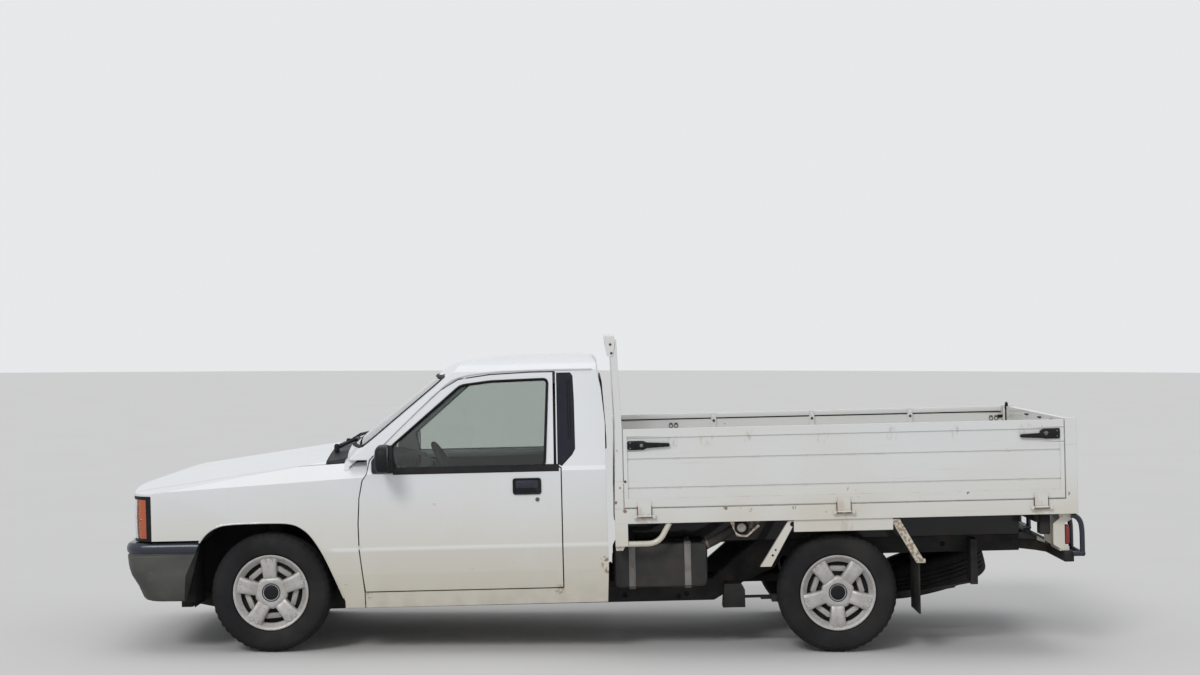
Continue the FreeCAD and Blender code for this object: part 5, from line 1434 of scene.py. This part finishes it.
def instruments():
    """Hood, panel and plain dials, on the CAD dashboard."""
    hood = Form()
    rings = []
    for y, s in ((-560, 0.2), (-548, 0.75), (-520, 1), (-350, 1.08), (-180, 1), (-152, 0.75), (-140, 0.2)):
        top = 938 + 52 * s
        rings.append([(640, y, 925), (660, y, top - 8), (690, y, top), (742, y, top - 6),
            (752, y, top - 14), (742, y, top - 18), (700, y, top - 14), (690, y, 925)])
    hood.loft(rings).piece("binnacle", "interior")
    face = Form().prism(rounded([(-520, 868), (-180, 868), (-186, 968), (-514, 968)], 16, 4), "x", 734, 742)
    face.piece("dial_panel", "black_plastic", bevel=2)
    dials, marks = Form(), Form()
    for y, r in ((-436, 43), (-300, 43), (-220, 24), (-500, 20)):
        dials.lathe([(r - 3, 742), (r, 744), (r + 2, 746), (r + 3, 742)], (0, y, 918), "x", 32, closed=True)
        for k in range(13):
            a = math.radians(225 - 22.5 * k)
            inner, outer = r * 0.72, r * 0.9
            marks.tube([(742.8, y - inner * math.cos(a), 918 + inner * math.sin(a)),
                (742.8, y - outer * math.cos(a), 918 + outer * math.sin(a))], 0.9, 4)
        a = math.radians(205)
        marks.tube([(743.5, y, 918), (743.5, y - r * 0.75 * math.cos(a), 918 + r * 0.75 * math.sin(a))],
            [2, 0.8], 6)
    dials.piece("dial_rims", "black_plastic")
    marks.piece("dial_marks", "dial")


def air_vents():
    vents = Form()
    for y in (-600, -60, 60, 600):
        outer = rounded(rect(y - 44, y + 44, 842, 894), 8, 3)
        inner = rounded(rect(y - 38, y + 38, 848, 888), 6, 3)
        vents.frame(outer, inner, "x", 744, 766)
        for k in range(5):
            z = 852 + 8 * k
            vents.prism([(748, z - 1), (762, z + 3), (762, z + 4.5), (748, z + 0.5)], "y", y - 38, y + 38)
    vents.piece("air_vents", "black_plastic")


def centre_bay():
    """Radio bay with its knobs, and the glove lid."""
    bay = Form().prism(rounded([(-100, 720), (100, 720), (104, 822), (-104, 822)], 10, 4), "x", 738, 752,
        758)
    for y in (-74, 74):
        bay.lathe([(0, 772), (11, 770), (13, 757), (0, 756)], (0, y, 796), "x", 24)
    for k in range(3):
        bay.lathe([(0, 776), (14, 774), (18, 760), (19, 757), (0, 756)], (0, -60 + 60 * k, 748), "x", 24)
    bay.piece("centre_bay", "black_plastic", bevel=1.5)
    lid = Form().prism(rounded(rect(190, 600, 700, 812), 18, 4), "x", 736, 756, 760)
    lid.prism(rounded(rect(370, 420, 786, 800), 4, 3), "x", 758, 768)
    lid.piece("glove_lid", "interior", bevel=2)


def floor_controls():
    """Tunnel mat, gear lever, hand brake and pedals."""
    floor = Form().loft([[(x, y * s, z) for y, z in rounded([(-168, 466.2), (168, 466.2), (120, 478),
        (-120, 478)], 6, 3)] for x, s in ((500, 1), (700, 1), (920, 0.95))])
    floor.piece("tunnel_mat", "mud_rubber")
    lever = Form().tube(smooth_path([(850, -20, 474), (866, -22, 560), (890, -26, 650), (920, -30, 742)],
        6), 8, 12)
    lever.lathe([(46, 476), (44, 490), (30, 512), (26, 528), (16, 546), (9, 560)], (852, -20, 0), "z", 24)
    lever.piece("gear_lever", "black_plastic")
    knob = Form().lathe([(0, 786), (12, 784), (21, 774), (24, 760), (20, 744), (10, 734), (0, 732)],
        (923, -30, 0), "z", 24)
    knob.piece("gear_knob", "interior")
    brake = Form().tube([(1010, 60, 470), (1000, 60, 500), (930, 60, 540), (860, 60, 566)],
        [12, 12, 11, 14], 12)
    brake.piece("hand_brake", "black_plastic")
    for y, width, part in ((-500, 52, "clutch"), (-390, 56, "brake"), (-290, 44, "gas")):
        pad_form = Form().prism(rounded(rect(y - width / 2, y + width / 2, 430, 486), 8, 3), "x", 636, 648)
        pad_form.tube([(636, y, 460), (600, y, 520), (560, y, 640)], 7, 8)
        pad_form.piece("pedal_" + part, "black_plastic", bevel=1.5)


for build in (instruments, air_vents, centre_bay, floor_controls):
    build()


def inner_mirror():
    mirror = Form().prism(rounded([(-118, 1322), (118, 1322), (112, 1378), (-112, 1378)], 20, 5), "x", 868,
        872, 884)
    mirror.tube([(872, 0, 1376), (866, 0, 1392), (868, 0, 1404)], 8, 10)
    mirror.piece("inner_mirror", "black_plastic", bevel=3)
    Form().prism(rounded([(-112, 1328), (112, 1328), (106, 1372), (-106, 1372)], 17, 5), "x", 884.4,
        886).piece("inner_mirror_glass", "mirror")


def cab_sides(sign, side):
    """Sun visor and seat belt."""
    visor = Form().loft([[(x, y, 1404 + (x - 905) * 0.27 + v) for y, v in ((-500, 0), (-120, 0), (-110, 7),
        (-120, 14), (-500, 14), (-510, 7))] for x in (905, 915, 1040, 1050)])
    visor.on(sign, "sun_visor", "interior", bevel=3)
    belt = Form()
    path = [(x, -side_y(z) + in_by, z) for x, z, in_by in (
        (1478, BELT_TOP, 34), (1482, 1180, 36), (1486, 1000, 40), (1488, 800, 66), (1490, 560, 68))]
    belt.carry(rect(-23, 23, 0, 1.5), "z", path)
    belt.on(sign, "seat_belt", "belt")
    guide = Form().lathe([(r, -side_y(BELT_TOP) + in_by) for r, in_by in ((0, 30), (16, 32), (20, 38),
        (0, 42))], (1478, 0, BELT_TOP + 8), "y", 20)
    guide.on(sign, "belt_guide", "black_plastic")


inner_mirror()
sided(cab_sides)


# Seats: padded with a cloth simulation, then sewn channels are pressed in

def padded_block(rows):
    """A closed soft form from rows of x and z, each with a half width, seen from the side."""
    middle = Vector((sum(p[0] for p in rows) / len(rows), sum(p[1] for p in rows) / len(rows)))
    return [[(y, middle + (Vector(p) - middle) * grow) for p in rows]
        for y, grow in ((-1.0, 0.80), (-0.96, 0.93), (-0.86, 1.0), (0.0, 1.0), (0.86, 1.0), (0.96, 0.93),
            (1.0, 0.80))]


VOXEL = 0.012
PRESSURE = 4.0
CLOTH_STEPS = 20


def cushion(name, rows, middle_y, half, seams, reach=12.0):
    """Lofted block, remeshed, blown up as cloth, then pressed in along its seams."""
    form = Form().loft([[(p.x, middle_y + y * half, p.y) for y, p in ring]
        for ring in padded_block(rounded(rows, 40, 5))])
    obj = form.piece(name, "seat_fabric")
    remesh = obj.modifiers.new("even", "REMESH")
    remesh.mode = "VOXEL"
    remesh.voxel_size = VOXEL
    apply_all(obj)
    start = [v.co.copy() for v in obj.data.vertices]
    cloth = obj.modifiers.new("pad", "CLOTH")
    cloth.settings.use_pressure = True
    cloth.settings.uniform_pressure_force = PRESSURE
    cloth.settings.quality = 5
    cloth.settings.effector_weights.gravity = 0
    scene = bpy.context.scene
    for step in range(1, CLOTH_STEPS + 1):
        scene.frame_set(step)
    apply_all(obj)
    scene.frame_set(1)
    for vertex, old in zip(obj.data.vertices, start):
        move = vertex.co - old
        if move.length > reach * MM:
            vertex.co = old + move.normalized() * reach * MM
    inverse = BODY.inverted()
    normals = [v.normal.copy() for v in obj.data.vertices]
    for vertex, normal in zip(obj.data.vertices, normals):
        p = inverse @ vertex.co
        depth = 0.0
        for axis, place_at, width, deep in seams:
            value = {"x": p.x, "y": p.y - middle_y, "z": p.z}[axis]
            depth = max(depth, deep * math.exp(-((value - place_at) / width) ** 2))
        vertex.co -= normal * depth * MM
    obj.modifiers.new("smooth", "SUBSURF").levels = 1
    obj.modifiers["smooth"].render_levels = 1
    for polygon in obj.data.polygons:
        polygon.use_smooth = True
    return obj


def apply_all(obj):
    graph = bpy.context.evaluated_depsgraph_get()
    mesh = bpy.data.meshes.new_from_object(obj.evaluated_get(graph))
    obj.modifiers.clear()
    old = obj.data
    obj.data = mesh
    bpy.data.meshes.remove(old)


def seats():
    """Two cushions, backrests and headrests with sewn channels, on one base."""
    cushions = []
    channels = [("y", v, 7, 9) for v in (-190, -95, 0, 95, 190)]
    for y, side in ((-SEAT_MIDDLE, "driver"), (SEAT_MIDDLE, "passenger")):
        cushions.append(cushion("cushion_" + side, [(1100, 452), (1550, 430), (1560, 560), (1500, 568),
            (1180, 592), (1104, 580)], y, 325, channels + [("x", 1150, 8, 8)]))
        cushions.append(cushion("backrest_" + side, [(1512, 580), (1590, 580), (1650, 800), (1688, 1060),
            (1640, 1072), (1600, 1000), (1545, 800)], y, 322, channels + [("z", 1010, 8, 8)]))
        cushions.append(cushion("headrest_" + side, [(1638, 1104), (1686, 1100), (1694, 1228),
            (1646, 1228)], y, 122, [("z", 1166, 6, 5)], reach=8.0))
    for obj in cushions:
        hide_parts("seat")
    base = Form().prism(rounded([(1096, 331), (1540, 331), (1552, 428), (1104, 446)], 14, 4), "y", -676, 676)
    base.piece("seat_base", "interior", bevel=6)
    posts = Form()
    for y in (-SEAT_MIDDLE, SEAT_MIDDLE):
        for u in (-55, 55):
            posts.tube([(1655, y + u, 1050), (1662, y + u, 1112)], 6, 10)
    posts.piece("headrest_posts", "steel")


seats()
